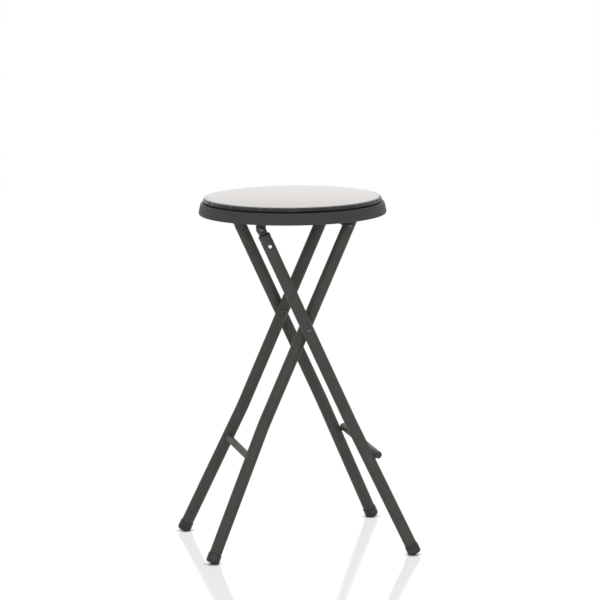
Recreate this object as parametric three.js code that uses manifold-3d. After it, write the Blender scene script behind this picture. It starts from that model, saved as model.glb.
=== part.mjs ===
import * as THREE from 'three';
import { mergeVertices } from 'three/addons/utils/BufferGeometryUtils.js';
import Module from 'manifold-3d';

const wasm = await Module();
wasm.setup();

// Folding bar stool: two crossed frames of round steel tube under a round padded seat.
// Millimetres, +Z up, the floor at zero and the scissor pivot above the origin.
// Looking along +Y, the outer legs lean up to the left and the inner legs up to the right.
// The seat is hinged to the tops of the outer legs, and two hooks under it hold the cross
// rod of the inner legs. Lifting its right side frees the rod and folds the frames flat.

// Fits
const fitGap = 0.3; // clearance between two pieces that touch
const cutOverrun = 3; // how far a cutter runs past the faces that it opens
const sides = [['near', -1], ['far', 1]];

// Stance
const pivotHeight = 376;
const legLeanDegrees = 24.2; // tilt of each frame from upright
const legSplayDegrees = 9.5; // outward bend of the lower legs
const bendDrop = 174; // from the pivot down to the corner of the bend
const bendRadius = 60;
const innerHalfSpread = 85.5; // from the middle to an inner leg's axis
const hingeRise = 184; // from the pivot up to the seat hinge
const hingeReach = 9.6; // from an outer leg's open mouth up to the hinge
const rodLag = 1; // how much nearer the pivot the cross rod lies than the hinge
const innerLegReach = 12; // from the cross rod up to an inner leg's open mouth

// Leg tube
const tubeRadius = 10;
const tubeWall = 1.2;
const tubeSides = 20;
const bendSteps = 4;

// Foot caps
const capWall = 1.1;
const capLength = 16.5;
const soleThickness = 6;
const soleRound = 4;
const soleRise = 1.6; // how far the worn sole lies above the floor on the leg's axis
const capRimBand = 1.6; // plain band above the flutes
const capRimRound = 0.6;
const fluteCount = 14;
const fluteDepth = 0.5;
const fluteRunout = 0.8;
const roundSteps = 2;

// Cross bars of the two frames
const barRadius = 6;
const barWall = 1.2;
const barSides = 16;
const stretcherDrop = 232; // from the pivot down to the inner legs' stretcher
const footRestDrop = 238; // from the pivot down to the foot rest
const footRestOverhang = 6.3; // from an outer leg's axis out to the foot rest's end
const barPlugLength = 9;
const barPlugProud = 0.6;
const barPlugRound = 0.8;

// Scissor pivot
const pivotPinRadius = 3;
const pivotHeadRadius = 4.4;
const pivotHeadHeight = 2.4;
const pivotTailRadius = 4.3;
const pivotTailHeight = 1.4;
const pivotTailBore = 1.9; // radius of the hollow in the rolled end
const pivotTailCrest = 0.5; // how far the rolled end swells past its rim
const pivotTailDepth = 7;
const washerRadius = 7.5;
const washerThickness = 0.9;

// Hinge plug in the mouth of an outer leg, with its rivet
const plugLength = 30;
const plugEndRound = 1.5;
const tongueWidth = 14.6;
const tongueThickness = 5;
const tongueTop = 7.3; // from the hinge up to the tongue's end
const tongueCorner = 2.6;
const tongueRoot = 6; // how deep the tongue is rooted in the plug
const crimpDrop = 9; // from the mouth down to the crimped groove
const crimpWidth = 2.6;
const crimpDepth = 0.45;
const plugRivetDrop = 19.5; // from the mouth down to the rivet
const plugRivetRadius = 2;
const plugRivetLength = 9;
const plugRivetHeadRadius = 3.1;
const plugRivetHeadHeight = 1.5;
const plugRivetBore = 0.9; // radius of the hole left by the rivet's mandrel
const plugRivetBoreDepth = 2.5;
const wallHoleRadius = 2.5; // open hole across from the rivet

// Seat hinge
const hingePinRadius = 2.8;
const hingeHeadRadius = 4.5;
const hingeHeadHeight = 2.2;
const hingeTailRadius = 4;
const hingeTailHeight = 1.3;
const sheetThickness = 2;
const earRadius = 8;
const earTopHalf = 9; // half the ear's width where it meets the flange
const bendInside = 1; // inner radius of the bracket's bend
const flangeHalfLength = 20;
const flangeReach = 26.2; // from the ear's outer face in to the flange's edge
const flangeScrewHalfPitch = 13;
const flangeScrewInset = 6; // from the flange's inner edge to its screws

// Cross rod of the inner legs and its sleeve
const rodRadius = 3.2;
const rodHeadRadius = 4.1;
const rodHeadHeight = 2.5;
const sleeveRadius = 6;
const sleeveBore = 3.7;

// Hooks that hold the sleeve
const hookThickness = 10;
const hookInset = 0.8; // from the sleeve's end in to the hook
const hookRadius = 9.8;
const hookSlack = 0.4; // between the sleeve and the hook
const hookNeckHalf = 12;
const hookFlangeHalfLength = 23;
const hookFlangeThickness = 4;
const hookScrewHalfPitch = 17.6;
const hookFlareDegrees = 5; // how much each side of the slot opens out
const hookLipRise = 0.8; // from the rod's axis up to the end of the hook's left lip
const foldShare = 0.412; // turn of the inner frame for each degree of the seat's

// Seat pan
const foldedSeatGap = 0.5; // between the folded seat's edge and the outer legs
const seatOverhang = 24.1; // from the hinge out to the pan's lower edge
const panFlare = 3.5; // how much wider the pan is at its lower edge
const panDepth = 19.3;
const panWall = 3;
const hemRound = 4;
const hemTurn = 3.2; // how far the hem turns in past the wall
const hemThickness = 2;
const panTopRound = 2.4;
const rimLip = 1.6; // how far the rim stands above the deck
const rimWidth = 5;
const deckThickness = 2.5;
const panSides = 56;
const hemSteps = 3;
const ribCount = 12;
const ribThickness = 2.2;
const ribDepth = 7.5;
const ribRingRadius = 60;
const pocketMargin = 1.5; // between the ribs and what is screwed to the deck
const bossRadius = 6;
const bossDepth = 4;
const bossPitchRadius = 42;
const bossCount = 4;

// Cushion
const boardInset = 12.5; // from the pan's rim in to the board's edge
const boardThickness = 6;
const coverThickness = 1;
const hemWidth = 12; // of the cover folded under the board
const cushionInset = 4; // from the pan's rim in to the rolled edge at its widest
const drawnIn = 7.5; // from the widest place in to where the side meets the deck
const rollWidth = 3.2; // from the widest place in to where the crown starts
const widestRise = 7; // from the deck up to the widest place
const shoulderRise = 9.9; // from the deck up to the edge of the crown
const crownRise = 18.4; // from the deck up to the top of the crown
const crownPower = 2.6;
const sideSteps = 3;
const shoulderSteps = 2;
const crownSteps = 6;
const foamSteps = 3;
const seatSides = 48;

// Screws
const screwRadius = 1.8;
const screwHeadRadius = 4;
const screwHeadHeight = 2.5;
const screwTip = 2.2;
const screwBite = 4; // how far a screw's full width enters the board
const pinSides = 12;
const screwSides = 8;
const domeSteps = 3;
const cornerFaces = 3; // round each small corner

// Places worked out from the sizes above
const legLean = THREE.MathUtils.degToRad(legLeanDegrees);
const legSplay = THREE.MathUtils.degToRad(legSplayDegrees);
const hookFlare = THREE.MathUtils.degToRad(hookFlareDegrees);
const tubeBore = tubeRadius - tubeWall;
const outerHalfSpread = innerHalfSpread + 2 * tubeRadius + washerThickness + 2 * fitGap;
const floorDrop = pivotHeight / Math.cos(legLean); // from the pivot to the floor, along a leg
const lowerLength = (floorDrop - bendDrop) / Math.cos(legSplay);
const tubeEndRise = soleRise + soleThickness + fitGap;
const outerMouthRise = hingeRise - hingeReach;
const rodRise = hingeRise - rodLag;
const innerMouthRise = rodRise + innerLegReach;
const hingeX = -hingeRise * Math.sin(legLean);
const hingeHeight = pivotHeight + hingeRise * Math.cos(legLean);
const rodX = rodRise * Math.sin(legLean);
const rodHeight = pivotHeight + rodRise * Math.cos(legLean);
const seatHeight = hingeHeight + tubeRadius + foldedSeatGap;
const panRadius = Math.hypot(hingeX, outerHalfSpread) + seatOverhang;
const panTopRadius = panRadius - panFlare;
const boardRadius = panTopRadius - boardInset;
const cushionRadius = panTopRadius - cushionInset;
const seatedRadius = cushionRadius - drawnIn;
const crownRadius = cushionRadius - rollWidth;
const deckTop = panDepth - rimLip;
const deckUnder = deckTop - deckThickness;
const flangeTop = deckUnder - fitGap;
const hemLevel = deckTop + fitGap;
const boardLevel = hemLevel + coverThickness + fitGap;
const screwTop = boardLevel + screwBite;
const earOuter = outerHalfSpread - tongueThickness / 2 - fitGap;
const earInner = earOuter - sheetThickness;

// Solids

// A closed geometry as a solid that can be joined and cut.
function solidFrom(geometry) {
  const bare = geometry.clone();
  bare.deleteAttribute('normal');
  bare.deleteAttribute('uv');
  const merged = mergeVertices(bare);
  const corners = merged.index.array;
  const kept = [];
  for (let i = 0; i < corners.length; i += 3) {
    const [a, b, c] = [corners[i], corners[i + 1], corners[i + 2]];
    if (a !== b && b !== c && c !== a) kept.push(a, b, c);
  }
  const vertProperties = new Float32Array(merged.attributes.position.array);
  const triVerts = new Uint32Array(kept);
  return new wasm.Manifold(new wasm.Mesh({ numProp: 3, vertProperties, triVerts }));
}

function geometryFrom(solid) {
  const mesh = solid.getMesh();
  const geometry = new THREE.BufferGeometry();
  geometry.setAttribute('position', new THREE.BufferAttribute(mesh.vertProperties, 3));
  geometry.setIndex(new THREE.BufferAttribute(mesh.triVerts, 1));
  geometry.computeVertexNormals();
  return geometry;
}

function joined(geometries) {
  return geometries.map(solidFrom).reduce((sum, solid) => sum.add(solid));
}

function cut(geometry, cutters) {
  let solid = solidFrom(geometry);
  for (const cutter of cutters) solid = solid.subtract(solidFrom(cutter));
  return geometryFrom(solid);
}

function point(x, y) {
  return new THREE.Vector2(x, y);
}

// A solid of revolution round Z, from points of radius and height.
function turnedUp(points, count) {
  const geometry = new THREE.LatheGeometry(points, count);
  geometry.rotateX(Math.PI / 2);
  return geometry;
}

// A round bar round Z between two heights.
function barUp(radius, bottom, top, count) {
  return turnedUp([point(0, bottom), point(radius, bottom), point(radius, top), point(0, top)], count);
}

// A round bar round Y between two places.
function barAcross(radius, start, end, count) {
  const points = [point(0, start), point(radius, start), point(radius, end), point(0, end)];
  return new THREE.LatheGeometry(points, count);
}

// A tube round Y between two places.
function tubeAcross(outside, inside, start, end, count) {
  const points = [point(inside, start), point(outside, start), point(outside, end)];
  points.push(point(inside, end), point(inside, start));
  return new THREE.LatheGeometry(points, count);
}

// Points of a quarter ellipse from its rim at a level to its top on the axis.
function domePoints(radius, level, height, steps) {
  const points = [];
  for (let i = 0; i <= steps; i++) {
    const angle = (i / steps) * (Math.PI / 2);
    points.push(point(radius * Math.cos(angle), level + height * Math.sin(angle)));
  }
  points[steps].x = 0;
  return points;
}

// An outline of length and height, pushed along Y from a start through a thickness.
function slabAcross(shape, start, thickness, curveSegments) {
  const settings = { depth: thickness, bevelEnabled: false, curveSegments };
  const geometry = new THREE.ExtrudeGeometry(shape, settings);
  geometry.rotateX(Math.PI / 2);
  geometry.translate(0, start + thickness, 0);
  return geometry;
}

function box(xRange, yRange, zRange) {
  const sizes = [xRange, yRange, zRange].map(([low, high]) => high - low);
  const middles = [xRange, yRange, zRange].map(([low, high]) => (low + high) / 2);
  const geometry = new THREE.BoxGeometry(...sizes);
  geometry.translate(...middles);
  return geometry;
}

function addPiece(parent, name, geometry, look) {
  const mesh = new THREE.Mesh(geometry, new THREE.MeshStandardMaterial(look));
  mesh.name = name;
  parent.add(mesh);
  return mesh;
}

// A piece turned round Y at the far side is turned half over for the near side.
function addAcross(parent, name, geometry, look, side, x, z) {
  const mesh = addPiece(parent, name, geometry, look);
  mesh.position.set(x, 0, z);
  mesh.rotation.x = side > 0 ? 0 : Math.PI;
  return mesh;
}

const paintedSteel = { color: 0x3b3836, roughness: 0.45, metalness: 0.3 };
const blackCap = { color: 0x141414, roughness: 0.25, metalness: 0 };
const blackPlastic = { color: 0x232120, roughness: 0.5, metalness: 0 };
const panPlastic = { color: 0x3a3735, roughness: 0.5, metalness: 0 };
const blackSteel = { color: 0x2c2a29, roughness: 0.35, metalness: 0.6 };
const zincSteel = { color: 0xb9b9b6, roughness: 0.35, metalness: 0.9 };
const greyAluminium = { color: 0xd2d2d0, roughness: 0.35, metalness: 0.9 };
const paleVinyl = { color: 0xe3dfdc, roughness: 0.45, metalness: 0 };
const creamFoam = { color: 0xe6dcc0, roughness: 0.95, metalness: 0 };
const plywood = { color: 0xb78f5e, roughness: 0.8, metalness: 0 };

// Frames

const stool = new THREE.Group();

// Origin at the pivot, Z up the legs.
const outerFrame = new THREE.Group();
outerFrame.position.z = pivotHeight;
outerFrame.rotation.y = -legLean;
stool.add(outerFrame);

const innerFrame = new THREE.Group();
innerFrame.position.z = pivotHeight;
innerFrame.rotation.y = legLean;
stool.add(innerFrame);

// The axis of a leg from its mouth down to its end in the foot cap.
class LegPath extends THREE.Curve {
  constructor(halfSpread, mouthRise, side) {
    super();
    this.halfSpread = halfSpread;
    this.mouthRise = mouthRise;
    this.side = side;
  }

  getPoint(t) {
    const station = t * (bendSteps + 2);
    const setback = bendRadius * Math.tan(legSplay / 2);
    const bendTop = setback - bendDrop;
    if (station <= 1) {
      const z = THREE.MathUtils.lerp(this.mouthRise, bendTop, station);
      return new THREE.Vector3(0, this.side * this.halfSpread, z);
    }
    if (station <= bendSteps + 1) {
      const angle = ((station - 1) / bendSteps) * legSplay;
      const outward = this.halfSpread + bendRadius * (1 - Math.cos(angle));
      return new THREE.Vector3(0, this.side * outward, bendTop - bendRadius * Math.sin(angle));
    }
    const share = station - (bendSteps + 1);
    const along = THREE.MathUtils.lerp(setback, lowerLength - tubeEndRise, share);
    return lowerLegPoint(this.halfSpread, this.side, along);
  }

  getPointAt(u) {
    return this.getPoint(u);
  }

  getTangentAt(u) {
    return this.getTangent(u);
  }
}

// A place on a leg's lower axis, by its distance from the corner of the bend.
function lowerLegPoint(halfSpread, side, along) {
  const outward = halfSpread + along * Math.sin(legSplay);
  return new THREE.Vector3(0, side * outward, -bendDrop - along * Math.cos(legSplay));
}

function legTube(halfSpread, mouthRise, side) {
  const section = new THREE.Shape();
  section.absarc(0, 0, tubeRadius, 0, 2 * Math.PI, false);
  const bore = new THREE.Path();
  bore.absarc(0, 0, tubeBore, 0, 2 * Math.PI, true);
  section.holes.push(bore);
  const extrudePath = new LegPath(halfSpread, mouthRise, side);
  const settings = { extrudePath, steps: bendSteps + 2, curveSegments: tubeSides / 2 };
  return new THREE.ExtrudeGeometry(section, settings);
}

// A cutter for a hole across a leg, from one distance off the middle to another.
function crossHole(radius, side, start, end, rise) {
  const hole = barAcross(radius, start, end, pinSides);
  if (side < 0) hole.rotateX(Math.PI);
  hole.translate(0, 0, rise);
  return hole;
}

// The shallow ring that the crimping tool pressed into the tube round the plug.
function crimpCutter(side) {
  const outside = tubeRadius + cutOverrun;
  const floor = tubeRadius - crimpDepth;
  const points = [point(floor, 0), point(outside, -crimpWidth / 2)];
  points.push(point(outside, crimpWidth / 2), point(floor, 0));
  const groove = turnedUp(points, tubeSides);
  groove.translate(0, side * outerHalfSpread, outerMouthRise - crimpDrop);
  return groove;
}

// The cap's section, from the middle of the sole round to the floor of its bore.
function capPoints() {
  const bore = tubeRadius + fitGap;
  const outside = bore + capWall;
  const top = soleRise + capLength;
  const wallBottom = soleRise + soleRound;
  const wallTop = top - capRimRound - capRimBand;
  const points = [point(0, soleRise)];
  for (let i = 0; i <= roundSteps; i++) {
    const angle = (i / roundSteps) * (Math.PI / 2);
    const inward = soleRound * (1 - Math.sin(angle));
    points.push(point(outside - inward, soleRise + soleRound * (1 - Math.cos(angle))));
  }
  const fluted = [points.length, points.length + 1];
  points.push(point(outside, wallBottom + fluteRunout), point(outside, wallTop - fluteRunout));
  const boreFloor = soleRise + soleThickness;
  points.push(point(outside, wallTop), point(outside, top - capRimRound));
  points.push(point(outside - capRimRound, top), point(bore, top));
  points.push(point(bore, boreFloor), point(0, boreFloor));
  return { points, fluted };
}

// Every second line of points down the wall is pressed in, which leaves the ribs between.
function flutedCap() {
  const { points, fluted } = capPoints();
  const geometry = new THREE.LatheGeometry(points, 2 * fluteCount);
  const places = geometry.attributes.position;
  for (let line = 1; line < 2 * fluteCount; line += 2) {
    for (const row of fluted) {
      const i = line * points.length + row;
      const share = 1 - fluteDepth / points[row].x;
      places.setXYZ(i, places.getX(i) * share, places.getY(i), places.getZ(i) * share);
    }
  }
  geometry.rotateX(Math.PI / 2);
  return geometry;
}

// A cap over a leg's end, with its sole cut level where it stands on the floor.
function addFootCap(frame, name, halfSpread, side) {
  const cap = new THREE.Group();
  cap.position.copy(lowerLegPoint(halfSpread, side, lowerLength));
  cap.rotation.x = side * legSplay;
  frame.add(cap);
  cap.updateWorldMatrix(true, false);
  const reach = tubeRadius + fitGap + capWall + cutOverrun;
  const ground = box([-reach, reach], [-reach, reach], [-reach, 0]);
  const spot = new THREE.Vector3().setFromMatrixPosition(cap.matrixWorld);
  ground.translate(spot.x, spot.y, 0);
  ground.applyMatrix4(cap.matrixWorld.clone().invert());
  addPiece(cap, name, cut(flutedCap(), [ground]), blackCap);
}

// Outer frame

// The moulded end of an outer leg: a plug pressed into the tube, with a flat tongue above it.
function hingePlug() {
  const radius = tubeBore - fitGap;
  const bottom = outerMouthRise - plugLength;
  const points = [point(0, bottom), point(radius - plugEndRound, bottom)];
  points.push(point(radius, bottom + plugEndRound));
  const grooveFloor = tubeBore - crimpDepth - fitGap;
  const grooveLevel = outerMouthRise - crimpDrop;
  points.push(point(radius, grooveLevel - crimpWidth), point(grooveFloor, grooveLevel - crimpWidth / 2));
  points.push(point(grooveFloor, grooveLevel + crimpWidth / 2), point(radius, grooveLevel + crimpWidth));
  points.push(point(radius, outerMouthRise), point(0, outerMouthRise));
  const outline = new THREE.Shape();
  const root = outerMouthRise - tongueRoot;
  outline.moveTo(-tongueWidth / 2, root);
  outline.lineTo(tongueWidth / 2, root);
  const [cornerX, cornerZ] = [tongueWidth / 2 - tongueCorner, hingeRise + tongueTop - tongueCorner];
  outline.absarc(cornerX, cornerZ, tongueCorner, 0, Math.PI / 2, false);
  outline.absarc(-cornerX, cornerZ, tongueCorner, Math.PI / 2, Math.PI, false);
  const tongue = slabAcross(outline, -tongueThickness / 2, tongueThickness, cornerFaces);
  const eye = barAcross(hingePinRadius + fitGap, -tongueThickness, tongueThickness, pinSides);
  eye.translate(0, 0, hingeRise);
  const rivetHole = barAcross(plugRivetRadius + fitGap, 0, tubeRadius, pinSides);
  rivetHole.translate(0, 0, outerMouthRise - plugRivetDrop);
  const body = joined([turnedUp(points, tubeSides), tongue]);
  return geometryFrom(body.subtract(solidFrom(eye)).subtract(solidFrom(rivetHole)));
}

// A pin with a domed head outside, measured from the middle of the stool.
function domedPin(radius, start, headStart, headRadius, headHeight) {
  const points = [point(0, start), point(radius, start), point(radius, headStart)];
  points.push(...domePoints(headRadius, headStart, headHeight, domeSteps));
  return points;
}

// The pivot rivet: domed head outside, rolled hollow end inside.
function pivotRivet() {
  const headStart = outerHalfSpread + tubeRadius + fitGap;
  const tailEnd = innerHalfSpread - tubeRadius - fitGap;
  const tailStart = tailEnd - pivotTailHeight;
  const hollowEnd = tailStart + pivotTailDepth;
  const crest = (pivotTailBore + pivotTailRadius) / 2;
  const points = [point(0, hollowEnd), point(pivotTailBore, hollowEnd)];
  points.push(point(pivotTailBore, tailStart), point(crest, tailStart - pivotTailCrest));
  points.push(point(pivotTailRadius, tailStart), point(pivotTailRadius, tailEnd));
  points.push(point(pivotPinRadius, tailEnd), point(pivotPinRadius, headStart));
  points.push(...domePoints(pivotHeadRadius, headStart, pivotHeadHeight, domeSteps));
  return new THREE.LatheGeometry(points, pinSides);
}

// The blind rivet that fixes the plug, with the hole that its mandrel left in the head.
function plugRivet() {
  const headStart = outerHalfSpread + tubeRadius + fitGap;
  const start = headStart - plugRivetLength;
  const points = domedPin(plugRivetRadius, start, headStart, plugRivetHeadRadius, plugRivetHeadHeight);
  const top = headStart + plugRivetHeadHeight;
  const hole = barAcross(plugRivetBore, top - plugRivetBoreDepth, top + cutOverrun, screwSides);
  return cut(new THREE.LatheGeometry(points, pinSides), [hole]);
}

// The hinge rivet: domed head outside the tongue, flat tail inside the bracket's ear.
function hingeRivet() {
  const headStart = outerHalfSpread + tongueThickness / 2 + fitGap;
  const tailEnd = earInner - fitGap;
  const tailStart = tailEnd - hingeTailHeight;
  const points = [point(0, tailStart), point(hingeTailRadius, tailStart), point(hingeTailRadius, tailEnd)];
  points.push(point(hingePinRadius, tailEnd), point(hingePinRadius, headStart));
  points.push(...domePoints(hingeHeadRadius, headStart, hingeHeadHeight, domeSteps));
  return new THREE.LatheGeometry(points, pinSides);
}

for (const [name, side] of sides) {
  const rivetRise = outerMouthRise - plugRivetDrop;
  const start = outerHalfSpread - tubeRadius - cutOverrun;
  const end = outerHalfSpread + tubeRadius + cutOverrun;
  const pivotHole = crossHole(pivotPinRadius + fitGap, side, start, end, 0);
  const rivetHole = crossHole(plugRivetRadius + fitGap, side, outerHalfSpread, end, rivetRise);
  const wallHole = crossHole(wallHoleRadius, side, start, outerHalfSpread, rivetRise);
  const tube = legTube(outerHalfSpread, outerMouthRise, side);
  const leg = cut(tube, [pivotHole, rivetHole, wallHole, crimpCutter(side)]);
  addPiece(outerFrame, `outer_leg_${name}`, leg, paintedSteel);

  const plug = addPiece(outerFrame, `hinge_plug_${name}`, hingePlug(), blackPlastic);
  plug.position.y = side * outerHalfSpread;
  plug.rotation.z = side > 0 ? 0 : Math.PI;
  addAcross(outerFrame, `plug_rivet_${name}`, plugRivet(), greyAluminium, side, 0, rivetRise);
  addAcross(outerFrame, `hinge_rivet_${name}`, hingeRivet(), blackSteel, side, 0, hingeRise);
  addAcross(outerFrame, `pivot_rivet_${name}`, pivotRivet(), blackSteel, side, 0, 0);

  const washerStart = innerHalfSpread + tubeRadius + fitGap;
  const washerEnd = washerStart + washerThickness;
  const washer = tubeAcross(washerRadius, pivotPinRadius + fitGap, washerStart, washerEnd, pinSides);
  addAcross(outerFrame, `pivot_washer_${name}`, washer, blackPlastic, side, 0, 0);
  addFootCap(outerFrame, `outer_foot_${name}`, outerHalfSpread, side);
}

// The foot rest lies across the upper side of the outer legs.
const footRestSide = tubeRadius + fitGap + barRadius;
const footRestAlong = (footRestDrop - bendDrop) / Math.cos(legSplay);
const footRestEnd = lowerLegPoint(outerHalfSpread, 1, footRestAlong).y + footRestOverhang;
const footRestBore = barRadius - barWall;
const footRestTube = tubeAcross(barRadius, footRestBore, -footRestEnd, footRestEnd, barSides);
const footRest = addPiece(outerFrame, 'foot_rest_bar', footRestTube, paintedSteel);
footRest.position.set(footRestSide, 0, -footRestDrop);

for (const [name, side] of sides) {
  const radius = footRestBore - fitGap;
  const end = footRestEnd + barPlugProud;
  const points = [point(0, end - barPlugLength), point(radius, end - barPlugLength)];
  points.push(point(radius, end - barPlugRound), point(radius - barPlugRound, end), point(0, end));
  const plug = new THREE.LatheGeometry(points, barSides);
  addAcross(outerFrame, `foot_rest_plug_${name}`, plug, blackPlastic, side, footRestSide, -footRestDrop);
}

// Inner frame

for (const [name, side] of sides) {
  const start = innerHalfSpread - tubeRadius - cutOverrun;
  const end = innerHalfSpread + tubeRadius + cutOverrun;
  const pivotHole = crossHole(pivotPinRadius + fitGap, side, start, end, 0);
  const rodHole = crossHole(rodRadius + fitGap, side, start, end, rodRise);
  const leg = cut(legTube(innerHalfSpread, innerMouthRise, side), [pivotHole, rodHole]);
  addPiece(innerFrame, `inner_leg_${name}`, leg, paintedSteel);
  addFootCap(innerFrame, `inner_foot_${name}`, innerHalfSpread, side);
}

// The stretcher's ends are coped to the round of the legs.
function stretcher() {
  const along = (stretcherDrop - bendDrop) / Math.cos(legSplay);
  const halfLength = lowerLegPoint(innerHalfSpread, 1, along).y;
  const reach = barRadius + tubeRadius;
  const tube = tubeAcross(barRadius, barRadius - barWall, -halfLength, halfLength, barSides);
  const legCutters = sides.map(([, side]) => {
    const cutter = barUp(tubeRadius + fitGap, -reach, reach, tubeSides);
    cutter.rotateX(side * legSplay);
    cutter.translate(0, side * halfLength, 0);
    return cutter;
  });
  return middlePiece(cut(tube, legCutters), halfLength - tubeRadius / 2, reach);
}

// What a cope leaves beyond a leg's axis falls away.
function middlePiece(geometry, halfLength, reach) {
  const keep = box([-reach, reach], [-halfLength, halfLength], [-reach, reach]);
  return geometryFrom(solidFrom(geometry).intersect(solidFrom(keep)));
}

const stretcherBar = addPiece(innerFrame, 'inner_stretcher', stretcher(), paintedSteel);
stretcherBar.position.z = -stretcherDrop;

function crossRod() {
  const headStart = innerHalfSpread + tubeRadius + fitGap;
  const head = domePoints(rodHeadRadius, headStart, rodHeadHeight, domeSteps);
  const half = [point(rodRadius, headStart), ...head];
  const mirrored = half.map(({ x, y }) => point(x, -y)).reverse();
  return new THREE.LatheGeometry([...mirrored, ...half], pinSides);
}

const rod = addPiece(innerFrame, 'top_cross_rod', crossRod(), blackSteel);
rod.position.z = rodRise;
const sleeveEnd = innerHalfSpread - tubeRadius - fitGap;
const sleeveTube = tubeAcross(sleeveRadius, sleeveBore, -sleeveEnd, sleeveEnd, barSides);
const sleeve = addPiece(innerFrame, 'top_rod_sleeve', sleeveTube, blackPlastic);
sleeve.position.z = rodRise;

// Seat

// Origin on the stool's axis, at the pan's lower edge.
const seat = new THREE.Group();
seat.position.z = seatHeight;
stool.add(seat);

const bracketScrews = [];
const hookScrews = [];
const bossScrews = [];
const flangeEdge = earOuter - flangeReach;
for (const [name, side] of sides) {
  for (const [place, step] of [['left', -1], ['right', 1]]) {
    const y = side * (flangeEdge + flangeScrewInset);
    bracketScrews.push({ name: `${name}_${place}`, x: hingeX + step * flangeScrewHalfPitch, y });
  }
}
const hookStart = sleeveEnd - hookInset - hookThickness;
for (const [name, side] of sides) {
  for (const [place, step] of [['left', -1], ['right', 1]]) {
    const y = side * (hookStart + hookThickness / 2);
    hookScrews.push({ name: `${name}_${place}`, x: rodX + step * hookScrewHalfPitch, y });
  }
}
for (let i = 0; i < bossCount; i++) {
  const angle = ((i + 1 / 2) / bossCount) * 2 * Math.PI;
  const [x, y] = [bossPitchRadius * Math.cos(angle), bossPitchRadius * Math.sin(angle)];
  bossScrews.push({ name: `${i + 1}`, x, y });
}
const allScrews = [...bracketScrews, ...hookScrews, ...bossScrews];

// The pan's section: deck, raised rim, flared skirt and a hem turned in at the bottom.
function panShell() {
  const hemInside = panRadius - panWall - hemTurn;
  const points = [point(0, deckUnder), point(panTopRadius - panWall - panTopRound, deckUnder)];
  points.push(point(panTopRadius - panWall, deckUnder - panTopRound));
  points.push(point(panRadius - panWall, hemRound));
  points.push(point(hemInside, hemThickness), point(hemInside, 0));
  for (let i = 0; i <= hemSteps; i++) {
    const angle = (i / hemSteps) * (Math.PI / 2);
    const inward = hemRound * (1 - Math.sin(angle));
    points.push(point(panRadius - inward, hemRound * (1 - Math.cos(angle))));
  }
  const middleInset = panTopRound * (1 - Math.SQRT1_2);
  points.push(point(panTopRadius, panDepth - panTopRound));
  points.push(point(panTopRadius - middleInset, panDepth - middleInset));
  points.push(point(panTopRadius - panTopRound, panDepth), point(panTopRadius - rimWidth, panDepth));
  points.push(point(panTopRadius - rimWidth - rimLip, deckTop), point(0, deckTop));
  return turnedUp(points, panSides);
}

// A cutter that clears the ribs from round a piece screwed to the deck.
function pocket(x, halfLength, side, start, end) {
  const reach = halfLength + pocketMargin;
  const ends = [side * (start - pocketMargin), side * (end + pocketMargin)];
  const depths = [deckUnder - ribDepth - cutOverrun, deckUnder];
  return box([x - reach, x + reach], [Math.min(...ends), Math.max(...ends)], depths);
}

// A ring and spokes under the deck, with pockets for what is screwed to it.
function seatPan() {
  const ribBottom = deckUnder - ribDepth;
  const ribTop = deckUnder + deckThickness / 2;
  const ringInside = ribRingRadius - ribThickness / 2;
  const ringOutside = ribRingRadius + ribThickness / 2;
  const ring = [point(ringInside, ribBottom), point(ringOutside, ribBottom), point(ringOutside, ribTop)];
  ring.push(point(ringInside, ribTop), point(ringInside, ribBottom));
  let ribs = solidFrom(turnedUp(ring, panSides));
  const spokeEnd = panTopRadius - panWall / 2;
  for (let i = 0; i < ribCount; i++) {
    const spokeWidth = [-ribThickness / 2, ribThickness / 2];
    const spoke = box([ribRingRadius, spokeEnd], spokeWidth, [ribBottom, ribTop]);
    spoke.rotateZ((i / ribCount) * 2 * Math.PI);
    ribs = ribs.add(solidFrom(spoke));
  }
  for (const [, side] of sides) {
    const bracketPocket = pocket(hingeX, flangeHalfLength, side, flangeEdge, earOuter);
    const hookPocket = pocket(rodX, hookFlangeHalfLength, side, hookStart, hookStart + hookThickness);
    ribs = ribs.subtract(solidFrom(bracketPocket)).subtract(solidFrom(hookPocket));
  }
  let pan = solidFrom(panShell()).add(ribs);
  for (const { x, y } of bossScrews) {
    const boss = barUp(bossRadius, deckUnder - bossDepth, ribTop, pinSides);
    boss.translate(x, y, 0);
    pan = pan.add(solidFrom(boss));
  }
  const holeStart = deckUnder - bossDepth - cutOverrun;
  for (const { x, y } of allScrews) {
    const hole = barUp(screwRadius + fitGap, holeStart, deckTop + cutOverrun, screwSides);
    hole.translate(x, y, 0);
    pan = pan.subtract(solidFrom(hole));
  }
  return geometryFrom(pan);
}

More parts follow.
